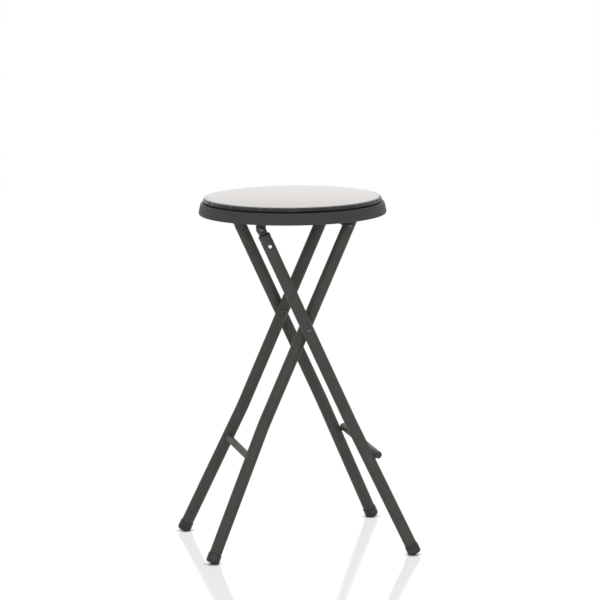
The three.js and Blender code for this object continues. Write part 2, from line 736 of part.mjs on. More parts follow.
// A bent sheet bracket round the hinge axis: ear down, flange in under the deck.
function hingeBracket() {
  const top = seatHeight + flangeTop - hingeHeight;
  const under = top - sheetThickness;
  const outside = bendInside + sheetThickness;
  const bend = new THREE.Shape();
  bend.moveTo(flangeEdge, under);
  bend.lineTo(earInner - bendInside, under);
  bend.absarc(earInner - bendInside, under - bendInside, bendInside, Math.PI / 2, 0, true);
  bend.lineTo(earInner, -earRadius);
  bend.lineTo(earOuter, -earRadius);
  bend.absarc(earOuter - outside, top - outside, outside, 0, Math.PI / 2, false);
  bend.lineTo(flangeEdge, top);
  const settings = { depth: 2 * flangeHalfLength, bevelEnabled: false, curveSegments: cornerFaces };
  const sheet = new THREE.ExtrudeGeometry(bend, settings);
  const alongX = new THREE.Vector3(1, 0, 0);
  const alongY = new THREE.Vector3(0, 1, 0);
  const alongZ = new THREE.Vector3(0, 0, 1);
  sheet.applyMatrix4(new THREE.Matrix4().makeBasis(alongY, alongZ, alongX));
  sheet.translate(-flangeHalfLength, 0, 0);

  const lean = Math.acos(earRadius / Math.hypot(earTopHalf, under));
  const start = Math.atan2(under, -earTopHalf) + lean;
  const face = new THREE.Shape();
  face.moveTo(-flangeHalfLength - cutOverrun, top + cutOverrun);
  face.lineTo(-flangeHalfLength - cutOverrun, under);
  face.lineTo(-earTopHalf, under);
  face.absarc(0, 0, earRadius, start, 3 * Math.PI - start, false);
  face.lineTo(earTopHalf, under);
  face.lineTo(flangeHalfLength + cutOverrun, under);
  face.lineTo(flangeHalfLength + cutOverrun, top + cutOverrun);
  const outline = slabAcross(face, flangeEdge - cutOverrun, flangeReach + 2 * cutOverrun, pinSides / 2);

  const pinRadius = hingePinRadius + fitGap;
  const cutters = [barAcross(pinRadius, earInner - cutOverrun, earOuter + cutOverrun, pinSides)];
  for (const step of [-1, 1]) {
    const hole = barUp(screwRadius + fitGap, under - cutOverrun, top + cutOverrun, screwSides);
    hole.translate(step * flangeScrewHalfPitch, flangeEdge + flangeScrewInset, 0);
    cutters.push(hole);
  }
  return cut(geometryFrom(solidFrom(sheet).intersect(solidFrom(outline))), cutters);
}

// A moulded hook round the rod's axis, open along the way in which the rod leaves it.
// Its left lip ends just above the axis. The right one takes the push of the legs.
function rodHook() {
  const top = seatHeight + flangeTop - rodHeight;
  const under = top - hookFlangeThickness;
  const lean = Math.acos(hookRadius / Math.hypot(hookNeckHalf, under));
  const start = Math.atan2(under, -hookNeckHalf) + lean;
  const face = new THREE.Shape();
  face.moveTo(-hookFlangeHalfLength, top);
  face.lineTo(-hookFlangeHalfLength, under);
  face.lineTo(-hookNeckHalf, under);
  face.absarc(0, 0, hookRadius, start, 3 * Math.PI - start, false);
  face.lineTo(hookNeckHalf, under);
  face.lineTo(hookFlangeHalfLength, under);
  face.lineTo(hookFlangeHalfLength, top);
  const body = slabAcross(face, 0, hookThickness, pinSides);

  // The rod swings with the inner frame while the seat turns round its hinge.
  const driftX = -foldShare * (rodHeight - pivotHeight) + (rodHeight - hingeHeight);
  const driftZ = foldShare * rodX - (rodX - hingeX);
  const slotAngle = Math.atan2(driftZ, driftX);
  const seatRadius = sleeveRadius + hookSlack;
  const slotLength = hookRadius + cutOverrun;
  const mouthHalf = seatRadius + slotLength * Math.tan(hookFlare);
  const slot = new THREE.Shape();
  slot.moveTo(0, -seatRadius);
  slot.lineTo(slotLength, -mouthHalf);
  slot.lineTo(slotLength, mouthHalf);
  slot.lineTo(0, seatRadius);
  slot.absarc(0, 0, seatRadius, Math.PI / 2, 3 * Math.PI / 2, false);
  const cutter = slabAcross(slot, -cutOverrun, hookThickness + 2 * cutOverrun, pinSides);
  cutter.rotateY(-slotAngle);

  const past = hookRadius + cutOverrun;
  const lipEnd = box([-past, 0], [-cutOverrun, hookThickness + cutOverrun], [-past, hookLipRise]);
  const cutters = [cutter, lipEnd];
  for (const step of [-1, 1]) {
    const hole = barUp(screwRadius + fitGap, under - cutOverrun, top + cutOverrun, screwSides);
    hole.translate(step * hookScrewHalfPitch, hookThickness / 2, 0);
    cutters.push(hole);
  }
  return cut(body, cutters);
}

// A screw from under a head seat up into the board, with its origin at the seat.
function screw(headSeat) {
  const length = screwTop - headSeat;
  const points = domePoints(screwHeadRadius, 0, -screwHeadHeight, domeSteps).reverse();
  points.push(point(screwRadius, 0), point(screwRadius, length - screwTip), point(0, length));
  return turnedUp(points, screwSides);
}

function addScrews(prefix, places, headSeat) {
  for (const { name, x, y } of places) {
    const mesh = addPiece(seat, `${prefix}_${name}`, screw(headSeat), zincSteel);
    mesh.position.set(x, y, headSeat);
  }
}

// The cushion's skin from the deck to the top of the crown, set in by a depth.
function skinPoints(inset, steps) {
  const widest = deckTop + widestRise;
  const sideOut = cushionRadius - seatedRadius - inset;
  const sideDown = widest - hemLevel - inset;
  const shoulderOut = cushionRadius - crownRadius - inset;
  const shoulderUp = shoulderRise - widestRise - inset;
  const crownUp = crownRise - shoulderRise;
  const points = [];
  for (let i = 0; i <= sideSteps; i++) {
    const angle = (i / sideSteps) * (Math.PI / 2);
    points.push(point(seatedRadius + sideOut * Math.sin(angle), widest - sideDown * Math.cos(angle)));
  }
  for (let i = 1; i <= shoulderSteps; i++) {
    const angle = (i / shoulderSteps) * (Math.PI / 2);
    points.push(point(crownRadius + shoulderOut * Math.cos(angle), widest + shoulderUp * Math.sin(angle)));
  }
  for (let i = steps - 1; i >= 0; i--) {
    const share = i / steps;
    points.push(point(crownRadius * share, widest + shoulderUp + crownUp * (1 - share ** crownPower)));
  }
  return points;
}

function seatCover() {
  const inside = skinPoints(coverThickness, crownSteps).reverse();
  const hemEnd = seatedRadius - hemWidth;
  const hem = [point(hemEnd, hemLevel + coverThickness), point(hemEnd, hemLevel)];
  return turnedUp([...inside, ...hem, ...skinPoints(0, crownSteps)], seatSides);
}

// The foam lies on the board and comes down round its edge.
function seatFoam() {
  const top = boardLevel + boardThickness + fitGap;
  const inside = boardRadius + fitGap;
  const points = [point(0, top), point(inside, top), point(inside, boardLevel)];
  points.push(...skinPoints(coverThickness + fitGap, foamSteps));
  return turnedUp(points, seatSides);
}

function seatBoard() {
  const plate = barUp(boardRadius, boardLevel, boardLevel + boardThickness, seatSides);
  const holes = allScrews.map(({ x, y }) => {
    const holeTop = screwTop + fitGap;
    const hole = barUp(screwRadius + fitGap, boardLevel - cutOverrun, holeTop, screwSides);
    hole.translate(x, y, 0);
    return hole;
  });
  return cut(plate, holes);
}

addPiece(seat, 'seat_pan', seatPan(), panPlastic);
addPiece(seat, 'seat_board', seatBoard(), plywood);
addPiece(seat, 'seat_foam', seatFoam(), creamFoam);
addPiece(seat, 'seat_cover', seatCover(), paleVinyl);

for (const [name, side] of sides) {
  const bracket = addPiece(seat, `hinge_bracket_${name}`, hingeBracket(), blackSteel);
  bracket.position.set(hingeX, 0, hingeHeight - seatHeight);
  bracket.rotation.z = side > 0 ? 0 : Math.PI;
  const hook = addPiece(seat, `rod_hook_${name}`, rodHook(), blackPlastic);
  const hookPlace = side > 0 ? hookStart : -hookStart - hookThickness;
  hook.position.set(rodX, hookPlace, rodHeight - seatHeight);
}

addScrews('bracket_screw', bracketScrews, flangeTop - sheetThickness - fitGap);
addScrews('hook_screw', hookScrews, flangeTop - hookFlangeThickness - fitGap);
addScrews('pan_screw', bossScrews, deckUnder - bossDepth - fitGap);

export default stool;
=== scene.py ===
import random
from math import acos, asin, atan2, cos, hypot, pi, radians, sin, sqrt, tan, tau

import bmesh
import bpy
from mathutils import Matrix, Vector, kdtree, noise


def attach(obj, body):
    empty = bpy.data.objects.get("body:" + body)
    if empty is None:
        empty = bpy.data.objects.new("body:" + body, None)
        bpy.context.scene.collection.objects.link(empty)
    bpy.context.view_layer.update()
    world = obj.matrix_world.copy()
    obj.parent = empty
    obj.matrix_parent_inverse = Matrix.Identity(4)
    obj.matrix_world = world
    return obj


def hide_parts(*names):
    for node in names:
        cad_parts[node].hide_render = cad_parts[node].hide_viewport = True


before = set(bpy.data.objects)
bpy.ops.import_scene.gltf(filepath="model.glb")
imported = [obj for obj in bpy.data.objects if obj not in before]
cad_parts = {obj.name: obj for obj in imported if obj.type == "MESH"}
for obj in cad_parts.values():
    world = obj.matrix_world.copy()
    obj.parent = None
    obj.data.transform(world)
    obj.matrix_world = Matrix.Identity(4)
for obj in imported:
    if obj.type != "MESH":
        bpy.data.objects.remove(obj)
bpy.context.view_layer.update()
print("frame loaded:", len(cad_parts), "nodes")

# Lengths of pieces are in millimetres until newPiece makes a mesh of them; those of camera, finishes and
# studio are in metres. Each frame has its origin at the scissor pivot and Z up along its legs, and the seat
# has its own at the pan's lower edge.

stance = {
    "pivotHeight": 376.0, "lean": 24.2, "splay": 9.5,
    "bendDrop": 174.0, "bendRadius": 60.0,
    "innerSpread": 85.5, "outerSpread": 107.0,
    "innerMouth": 195.0, "outerMouth": 174.4,
    "hingeRise": 184.0, "rodRise": 183.0, "seatHeight": 554.33,
}

quarter = pi / 2
lean = radians(stance["lean"])
splay = radians(stance["splay"])
innerSpread, outerSpread = stance["innerSpread"], stance["outerSpread"]
outerPlace = Matrix.Translation((0, 0, stance["pivotHeight"])) @ Matrix.Rotation(-lean, 4, "Y")
innerPlace = Matrix.Translation((0, 0, stance["pivotHeight"])) @ Matrix.Rotation(lean, 4, "Y")
seatPlace = Matrix.Translation((0, 0, stance["seatHeight"]))
sides = (("near", -1), ("far", 1))
legPairs = (
    ("outer", outerPlace, outerSpread, stance["outerMouth"]),
    ("inner", innerPlace, innerSpread, stance["innerMouth"]),
)


def addObject(name, data):
    thing = bpy.data.objects.new(name, data)
    bpy.context.scene.collection.objects.link(thing)
    return thing


# Camera, as the photograph was taken: a long lens from the left, a little above the seat

cameraSettings = {
    "lens": 198.11, "sensor": 36.0, "nearest": 0.1, "farthest": 60,
    "place": (-1.16588, -5.27573, 1.28028),
    "turn": 0.2195, "down": 0.1599, "roll": -0.0102,
}


def setCamera(s):
    turn, down, roll = s["turn"], s["down"], s["roll"]
    ahead = Vector((sin(turn) * cos(down), cos(turn) * cos(down), -sin(down)))
    level = Vector((cos(turn), -sin(turn), 0))
    upright = level.cross(ahead)
    right = level * cos(roll) + upright * sin(roll)
    up = upright * cos(roll) - level * sin(roll)
    data = bpy.data.cameras.new("camera")
    data.sensor_width, data.lens = s["sensor"], s["lens"]
    data.clip_start, data.clip_end = s["nearest"], s["farthest"]
    camera = addObject("camera", data)
    rows = [(right[i], up[i], -ahead[i], s["place"][i]) for i in range(3)]
    camera.matrix_world = Matrix([*rows, (0, 0, 0, 1)])
    bpy.context.scene.camera = camera


setCamera(cameraSettings)
print("camera set")


# Finishes. A texture is given as (scale, detail, roughness), a bump as (strength, distance)

def newMaterial(name):
    material = bpy.data.materials.new(name)
    material.use_nodes = True
    return material, material.node_tree, material.node_tree.nodes["Principled BSDF"]


# Sets each input to a value, or links it to the output that is given
def setInputs(node, inputs):
    for key, value in inputs.items():
        if isinstance(value, bpy.types.NodeSocket):
            node.id_data.links.new(value, node.inputs[key])
        else:
            node.inputs[key].default_value = value


def addNode(tree, kind, settings=None, inputs=None, **named):
    node = tree.nodes.new(kind)
    for key, value in (settings or {}).items():
        setattr(node, key, value)
    setInputs(node, {**(inputs or {}), **named})
    return node


def sumOf(tree, operation, first, second):
    return addNode(tree, "ShaderNodeMath", {"operation": operation}, {0: first, 1: second}).outputs[0]


def mixColours(tree, share, first, second):
    values = {"Factor": share, "A": first, "B": second}
    return addNode(tree, "ShaderNodeMix", {"data_type": "RGBA"}, values).outputs["Result"]


def mixShaders(tree, share, first, second):
    return addNode(tree, "ShaderNodeMixShader", None, {"Fac": share, 1: first, 2: second}).outputs["Shader"]


def grainPlace(tree, stretch=(1, 1, 1)):
    spot = addNode(tree, "ShaderNodeTexCoord").outputs["Object"]
    return addNode(tree, "ShaderNodeMapping", Scale=stretch, Vector=spot).outputs["Vector"]


def grainOf(tree, vector, scale, detail, rough):
    values = {"Scale": scale, "Detail": detail, "Roughness": rough}
    return addNode(tree, "ShaderNodeTexNoise", None, values, Vector=vector).outputs["Fac"]


def cellsOf(tree, vector, feature, **values):
    cells = addNode(tree, "ShaderNodeTexVoronoi", {"feature": feature}, values, Vector=vector)
    return cells.outputs["Distance"]


def ramp(tree, source, stops, *shades):
    node = addNode(tree, "ShaderNodeValToRGB", Fac=source)
    for element, place, shade in zip(node.color_ramp.elements, stops, shades):
        element.position = place
        element.color = (*shade, 1)
    return node.outputs["Color"]


def spread(tree, source, fromLow, fromHigh, low, high, kind="LINEAR"):
    values = {"Value": source, "From Min": fromLow, "From Max": fromHigh, "To Min": low, "To Max": high}
    return addNode(tree, "ShaderNodeMapRange", {"interpolation_type": kind}, values).outputs["Result"]


# Stacks bumps, each on the one before
def addBumps(tree, shader, *layers):
    below = {}
    for height, (strength, distance) in layers:
        values = {"Height": height, "Strength": strength, "Distance": distance, **below}
        below = {"Normal": addNode(tree, "ShaderNodeBump", None, values).outputs["Normal"]}
    setInputs(shader, below)


middle = (0.3, 0.7)  # the values of a noise over which a roughness is spread

enamelLook = {
    "dark": (0.0626, 0.0599, 0.0536), "light": (0.0799, 0.0777, 0.0690), "bare": (0.16, 0.15, 0.145),
    "roughness": (0.50, 0.62), "gloss": 0.24,
    "cloud": (28, 4, 0.55), "speck": (900.0, 2, 0.6), "peel": (160.0, 3, 0.5),
    "stops": (0.35, 0.68), "wear": (0.57, 0.64), "patches": (0.42, 0.62, 0, 0.8),
    "peelBump": (0.10, 0.0004), "speckBump": (0.06, 0.0001),
}


# Satin enamel over steel: fine orange peel, a cloudy sheen, and thin places where edges have rubbed
def enamel(name, s):
    material, tree, shader = newMaterial(name)
    vector = grainPlace(tree)
    cloud, speck, peel = [grainOf(tree, vector, *s[part]) for part in ("cloud", "speck", "peel")]
    edge = addNode(tree, "ShaderNodeNewGeometry").outputs["Pointiness"]
    worn = sumOf(tree, "MULTIPLY", spread(tree, edge, *s["wear"], 0, 1), spread(tree, peel, *s["patches"]))
    paint = ramp(tree, cloud, s["stops"], s["dark"], s["light"])
    setInputs(shader, {
        "Base Color": mixColours(tree, worn, paint, (*s["bare"], 1)),
        "Roughness": spread(tree, cloud, *middle, *s["roughness"]),
        "Specular IOR Level": s["gloss"],
    })
    addBumps(tree, shader, (peel, s["peelBump"]), (speck, s["speckBump"]))
    return material


mouldedLook = {
    "pan": {
        "dark": (0.050, 0.047, 0.045), "light": (0.064, 0.060, 0.058),
        "roughness": (0.52, 0.64), "gloss": 0.24, "grain": 520.0, "depth": 0.16,
    },
    "black": {
        "dark": (0.030, 0.029, 0.028), "light": (0.042, 0.041, 0.040),
        "roughness": (0.40, 0.52), "gloss": 0.4, "grain": 700.0, "depth": 0.12,
    },
    "cap": {
        "dark": (0.013, 0.013, 0.012), "light": (0.022, 0.021, 0.020),
        "roughness": (0.10, 0.18), "gloss": 0.38, "grain": 380.0, "depth": 0.05,
    },
    "flow": (22, 5, 0.6), "stops": (0.34, 0.70), "smooth": 0.6, "rise": 0.0003,
    "fineness": 2.2, "fine": (2, 0.5), "fineDepth": 0.6, "fineRise": 0.00012,
}


# Moulded plastic and rubber: spark-eroded grain and faint flow marks
def moulded(name, kind, s):
    look = s[kind]
    material, tree, shader = newMaterial(name)
    vector = grainPlace(tree)
    flow = grainOf(tree, vector, *s["flow"])
    grain = cellsOf(tree, vector, "SMOOTH_F1", Scale=look["grain"], Smoothness=s["smooth"])
    fine = grainOf(tree, vector, look["grain"] * s["fineness"], *s["fine"])
    setInputs(shader, {
        "Base Color": ramp(tree, flow, s["stops"], look["dark"], look["light"]),
        "Roughness": spread(tree, flow, *middle, *look["roughness"]),
        "Specular IOR Level": look["gloss"],
    })
    depth = look["depth"]
    addBumps(tree, shader, (grain, (depth, s["rise"])), (fine, (depth * s["fineDepth"], s["fineRise"])))
    return material


metalLook = {
    "zinc": {
        "dark": (0.42, 0.42, 0.41), "light": (0.60, 0.60, 0.58),
        "roughness": (0.28, 0.42), "scratch": (900.0, 900.0, 60.0),
    },
    "aluminium": {
        "dark": (0.72, 0.72, 0.71), "light": (0.86, 0.86, 0.85),
        "roughness": (0.22, 0.36), "scratch": (700.0, 700.0, 90.0),
    },
    "blackened": {
        "dark": (0.055, 0.053, 0.051), "light": (0.10, 0.096, 0.092),
        "roughness": (0.20, 0.32), "scratch": (500.0, 500.0, 80.0),
    },
    "drawn": (1.0, 4, 0.6), "spots": (260, 3, 0.6), "stops": (0.32, 0.62), "bump": (0.08, 0.0001),
}


# Plated or bare metal: drawn scratches, dull spots
def metal(name, kind, s):
    look = s[kind]
    material, tree, shader = newMaterial(name)
    drawn = grainOf(tree, grainPlace(tree, look["scratch"]), *s["drawn"])
    spots = grainOf(tree, grainPlace(tree), *s["spots"])
    setInputs(shader, {
        "Base Color": ramp(tree, spots, s["stops"], look["dark"], look["light"]),
        "Roughness": spread(tree, drawn, *middle, *look["roughness"]),
        "Metallic": 1.0,
    })
    addBumps(tree, shader, (drawn, s["bump"]))
    return material


vinylAndPaintedReflectionLook = {
    # pale is the painted reflection of the white studio on the crown; edge is the reach over which that
    # painted reflection fades into the dark vinyl
    "pale": (0.810, 0.778, 0.752), "paleShade": (0.775, 0.743, 0.718), "dark": (0.020, 0.019, 0.019),
    "edge": (0.1390, 0.1460), "roughness": (0.46, 0.30), "gloss": 0.3,
    "cloud": (14, 4, 0.5), "stops": (0.3, 0.7), "pores": (1860.0, 2, 0.5), "grain": 620.0, "crease": 0.12,
    "creaseBump": (0.10, 0.00012), "poreBump": (0.05, 0.00006),
}


# Dark vinyl, glossier round the rolled edge, with a fine leather grain. Its crown is painted pale as a
# painted reflection of the white studio, and the soft blend from pale into the dark round the edge is a
# painted falloff of that reflection
def vinyl(name, s):
    material, tree, shader = newMaterial(name)
    vector = grainPlace(tree)
    place = addNode(tree, "ShaderNodeTexCoord").outputs["Object"]
    spot = addNode(tree, "ShaderNodeSeparateXYZ", Vector=place)
    flat = addNode(tree, "ShaderNodeCombineXYZ", X=spot.outputs["X"], Y=spot.outputs["Y"]).outputs["Vector"]
    reach = addNode(tree, "ShaderNodeVectorMath", {"operation": "LENGTH"}, {0: flat}).outputs["Value"]
    # Painted reflection: the crown is coloured pale as if it mirrored the white studio, and it fades into the
    # dark vinyl over s["edge"] as a painted falloff
    edge = spread(tree, reach, *s["edge"], 0, 1, "SMOOTHSTEP")
    pale = ramp(tree, grainOf(tree, vector, *s["cloud"]), s["stops"], s["paleShade"], s["pale"])
    setInputs(shader, {
        "Base Color": mixColours(tree, edge, pale, (*s["dark"], 1)),
        "Roughness": spread(tree, edge, 0, 1, *s["roughness"]),
        "Specular IOR Level": s["gloss"],
    })
    cells = cellsOf(tree, vector, "DISTANCE_TO_EDGE", Scale=s["grain"])
    creases = spread(tree, cells, 0, s["crease"], 0, 1)
    addBumps(tree, shader, (creases, s["creaseBump"]), (grainOf(tree, vector, *s["pores"]), s["poreBump"]))
    return material


woodLook = {
    "pale": (0.62, 0.43, 0.25), "dark": (0.40, 0.25, 0.13), "roughness": 0.8,
    "stretch": (1, 14, 14), "figure": (9, 6, 0.6), "stops": (0.35, 0.65), "bump": (0.2, 0.0003),
}


def plywood(name, s):
    material, tree, shader = newMaterial(name)
    figure = grainOf(tree, grainPlace(tree, s["stretch"]), *s["figure"])
    setInputs(shader, {
        "Base Color": ramp(tree, figure, s["stops"], s["dark"], s["pale"]), "Roughness": s["roughness"],
    })
    addBumps(tree, shader, (figure, s["bump"]))
    return material


enamelPaint = enamel("satinEnamel", enamelLook)
panPlastic = moulded("mouldedPan", "pan", mouldedLook)
blackPlastic = moulded("blackPlastic", "black", mouldedLook)
capRubber = moulded("capRubber", "cap", mouldedLook)
zinc = metal("zincPlate", "zinc", metalLook)
aluminium = metal("aluminium", "aluminium", metalLook)
blackened = metal("blackenedSteel", "blackened", metalLook)
seatVinylWithPaintedReflection = vinyl("seatVinylWithPaintedReflection", vinylAndPaintedReflectionLook)
boardWood = plywood("plywood", woodLook)
print("finishes made")


# Mesh making

def shadeSharp(mesh, angle):
    mesh.shade_smooth()
    mesh.set_sharp_from_angle(angle=radians(angle))


def newPiece(name, points, faces, material, place=Matrix(), sharp=32.0):
    mesh = bpy.data.meshes.new(name)
    mesh.from_pydata([(place @ Vector(p)) / 1000 for p in points], [], faces)
    build = bmesh.new()
    build.from_mesh(mesh)
    bmesh.ops.recalc_face_normals(build, faces=build.faces)
    build.to_mesh(mesh)
    build.free()
    shadeSharp(mesh, sharp)
    mesh.materials.append(material)
    return addObject(name, mesh)


# Keeps the mesh that the modifiers make, and drops them
def applyModifiers(piece):
    graph = bpy.context.evaluated_depsgraph_get()
    mesh = bpy.data.meshes.new_from_object(piece.evaluated_get(graph))
    piece.modifiers.clear()
    piece.data = mesh
    return mesh


mostOfSide = 0.48  # a rounding takes up at most this share of a side


# Rounds the corners of a line of (x, y, rounding)
def softLine(corners, steps=4, closed=False):
    line = []
    count = len(corners)
    for i, (x, y, rounding) in enumerate(corners):
        here = Vector((x, y))
        if rounding <= 0 or (not closed and i in (0, count - 1)):
            line.append((x, y))
            continue
        before = Vector(corners[(i - 1) % count][:2]) - here
        after = Vector(corners[(i + 1) % count][:2]) - here
        back = here + before.normalized() * min(rounding, before.length * mostOfSide)
        on = here + after.normalized() * min(rounding, after.length * mostOfSide)
        for step in range(steps + 1):
            t = step / steps
            line.append(tuple(back * (1 - t) ** 2 + here * 2 * t * (1 - t) + on * t * t))
    return line


# Faces between rows that are each a ring of points; a closed loop joins the last row to the first
def loopFaces(rows, count, closed=True):
    faces = []
    for row in range(rows if closed else rows - 1):
        low, high = row * count, (row + 1) % rows * count
        faces += [(low + i, low + (i + 1) % count, high + (i + 1) % count, high + i) for i in range(count)]
    return faces


# A surface of revolution round Z from a line of (radius, height)
def turned(line, count, closed=False):
    points, rows, faces = [], [], []
    for radius, height in line:
        if radius < 1e-6:
            rows.append([len(points)] * count)
            points.append((0, 0, height))
            continue
        rows.append(list(range(len(points), len(points) + count)))
        for i in range(count):
            angle = tau * i / count
            points.append((radius * cos(angle), radius * sin(angle), height))
    pairs = list(zip(rows, rows[1:])) + ([(rows[-1], rows[0])] if closed else [])
    for low, high in pairs:
        for i in range(count):
            j = (i + 1) % count
            corners = [low[i], low[j], high[j], high[i]]
            corners = [c for k, c in enumerate(corners) if c not in corners[:k]]
            if len(corners) > 2:
                faces.append(corners)
    return points, faces


# Turns a piece's Z outward, across the stool: to -Y on the near side and to +Y on the far side
def acrossPlace(place, side, x, z):
    return place @ Matrix.Translation((x, 0, z)) @ Matrix.Rotation(-side * quarter, 4, "X")


def turnedPiece(name, line, material, place, count=48, closed=False):
    points, faces = turned(line, count, closed)
    return newPiece(name, points, faces, material, place)


def arc(x, z, radius, start, end, count):
    turns = [start + (end - start) * i / count for i in range(count + 1)]
    return [(x + radius * cos(turn), z + radius * sin(turn)) for turn in turns]


# A rivet's head from its flat underside to the top of its dome; edge is how far its rim is drawn in and up
def headLine(pin, radius, start, height, edge, steps=10):
    level = start + edge[1]
    line = [(pin, start), (radius - edge[0], start)]
    for i in range(steps):
        angle = i / steps * quarter
        line.append((radius * cos(angle), level + (height - edge[1]) * sin(angle)))
    return line + [(0, start + height)]


def roundEdges(piece, edge, count, angle=50.0):
    change = piece.modifiers.new("round", "BEVEL")
    change.width = edge / 1000
    change.segments = count
    change.limit_method = "ANGLE"
    change.angle_limit = radians(angle)
    shadeSharp(applyModifiers(piece), 40)


# A solid from equal rings of points, closed at both ends
def prism(name, rings, material, place):
    size, count = len(rings[0]), len(rings)
    ends = [tuple(range(size)), tuple(range(count * size - 1, (count - 1) * size - 1, -1))]
    points = [point for ring in rings for point in ring]
    return newPiece(name, points, ends + loopFaces(count, size, closed=False), material, place)


# A flat outline of (x, z) pushed along Y, with its edges rounded
def plate(name, outline, start, end, material, place, edge, count):
    piece = prism(name, [[(x, y, z) for x, z in outline] for y in (start, end)], material, place)
    roundEdges(piece, edge, count)
    return piece


def cutAway(piece, cutters):
    for cutter in cutters:
        change = piece.modifiers.new("cut", "BOOLEAN")
        change.operation = "DIFFERENCE"
        change.solver = "EXACT"
        change.object = cutter
    shadeSharp(applyModifiers(piece), 32)
    for cutter in cutters:
        bpy.data.objects.remove(cutter)


def drill(radius, place, start, end, side, rise, count=32):
    line = [(0, start), (radius, start), (radius, end), (0, end)]
    return turnedPiece("drill", line, blackPlastic, acrossPlace(place, side, 0, rise), count)


def joinPieces(name, pieces):
    build = bmesh.new()
    for piece in pieces:
        build.from_mesh(piece.data)
    mesh = bpy.data.meshes.new(name)
    build.to_mesh(mesh)
    build.free()
    mesh.materials.append(pieces[0].data.materials[0])
    shadeSharp(mesh, 32)
    for piece in pieces:
        bpy.data.objects.remove(piece)
    return addObject(name, mesh)


def settle(piece, body, slot, *nodes):
    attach(piece, body)
    if nodes:
        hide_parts(*nodes)


# Legs

legShape = {
    "radius": 10.0, "wall": 1.2, "lip": 0.35, "count": 64,
    "crimpDrop": 9.0, "crimpWidth": 3.2, "crimpDepth": 0.55, "crimpSteps": 16,
    "rivetDrop": 19.5, "wallHole": 2.5, "pivotHole": 3.3, "rodHole": 3.5, "drillPast": 3.0,
    "endRise": 7.9, "topSteps": (2.0, 4.0, 14.0, 24.0), "holeSpace": 6, "bendLead": 1, "endLead": 12,
    "upperStep": 15.0, "bendSteps": 14, "lowerStep": 22.0, "lipCut": 0.3,
}
tubeRadius = legShape["radius"]
bendRadius = stance["bendRadius"]
bendLength = bendRadius * splay
bendStart = stance["bendDrop"] - bendRadius * tan(splay / 2)
lowerLength = (stance["pivotHeight"] / cos(lean) - stance["bendDrop"]) / cos(splay)


# A place on a leg by its distance along the axis from the mouth, its radius and its angle round the tube
def legPoint(halfSpread, mouth, side, along, radius, angle):
    straight = mouth + bendStart
    tilt = min(max(along - straight, 0), bendLength) / bendRadius
    rest = max(along - straight - bendLength, 0)
    out = halfSpread + bendRadius * (1 - cos(tilt)) + rest * sin(tilt)
    down = min(along, straight) + bendRadius * sin(tilt) + rest * cos(tilt)
    y = out + sin(angle) * radius * cos(tilt)
    return (cos(angle) * radius, side * y, mouth - down + sin(angle) * radius * sin(tilt))


# The closed line of (distance along the leg, radius): rolled mouth, skin, end, bore
def legLine(mouth, crimped, s):
    straight = mouth + bendStart
    total = straight + bendLength + lowerLength - s["endRise"] - bendRadius * tan(splay / 2)
    hole = s["holeSpace"]
    stops = {*s["topSteps"], mouth - hole, mouth + hole, straight - s["bendLead"], total - s["endLead"]}
    stops |= {s["upperStep"] * i for i in range(1, int(straight / s["upperStep"]))}
    stops |= {straight + bendLength * i / s["bendSteps"] for i in range(s["bendSteps"] + 1)}
    lower = int((total - straight - bendLength) / s["lowerStep"])
    stops |= {straight + bendLength + s["lowerStep"] * i for i in range(1, lower)}
    if crimped:
        half = s["crimpSteps"] // 2
        stops |= {s["crimpDrop"] + s["crimpWidth"] * i / s["crimpSteps"] for i in range(-half, half + 1)}
    outside = []
    for along in sorted(stops):
        dent = max(0, 1 - (2 * (along - s["crimpDrop"]) / s["crimpWidth"]) ** 2) ** 1.5 if crimped else 0
        outside.append((along, s["radius"] - s["crimpDepth"] * dent))
    inside = [(along, radius - s["wall"]) for along, radius in reversed(outside)]
    lip, radius, bore = s["lip"], s["radius"], s["radius"] - s["wall"]
    cut = lip * s["lipCut"]
    rolled = [(lip, bore), (cut, bore + cut), (0, bore + lip)]
    rolled += [(0, radius - lip), (cut, radius - cut), (lip, radius)]
    return rolled + outside + [(total, radius), (total, bore)] + inside


def buildLeg(name, halfSpread, mouth, side, place, crimped, s):
    line, count = legLine(mouth, crimped, s), s["count"]
    angles = [tau * i / count for i in range(count)]
    points = [legPoint(halfSpread, mouth, side, *spot, angle) for spot in line for angle in angles]
    leg = newPiece(name, points, loopFaces(len(line), count), enamelPaint, place)
    near, far = [halfSpread + way * (s["radius"] + s["drillPast"]) for way in (-1, 1)]
    cutters = [drill(s["pivotHole"], place, near, far, side, 0)]
    if crimped:
        cutters.append(drill(s["wallHole"], place, near, halfSpread, side, mouth - s["rivetDrop"]))
    else:
        cutters.append(drill(s["rodHole"], place, near, far, side, stance["rodRise"]))
    cutAway(leg, cutters)
    return leg


for where, side in sides:
    for kind, place, halfSpread, mouth in legPairs:
        leg = buildLeg(f"{kind}Leg_{where}", halfSpread, mouth, side, place, kind == "outer", legShape)
        settle(leg, f"{kind}_frame", "painted_steel", f"{kind}_leg_{where}")
print("legs made")


# Foot caps: upright reeds between a plain rim and a rounded sole, cut level at the floor

capShape = {
    "bore": 10.3, "outside": 11.4, "rise": 1.6, "length": 16.5, "sole": 6.0, "soleRound": 4.0,
    "soleRing": 3.5, "rim": 1.6, "rimRound": 0.6, "mouthWide": 0.1, "mouthDeep": 0.15,
    "reeds": 14, "reedDepth": 0.55, "reedPower": 0.8, "runout": 1.3,
    "samples": 14, "levels": 14, "soleSteps": 8, "rimSteps": 5,
}


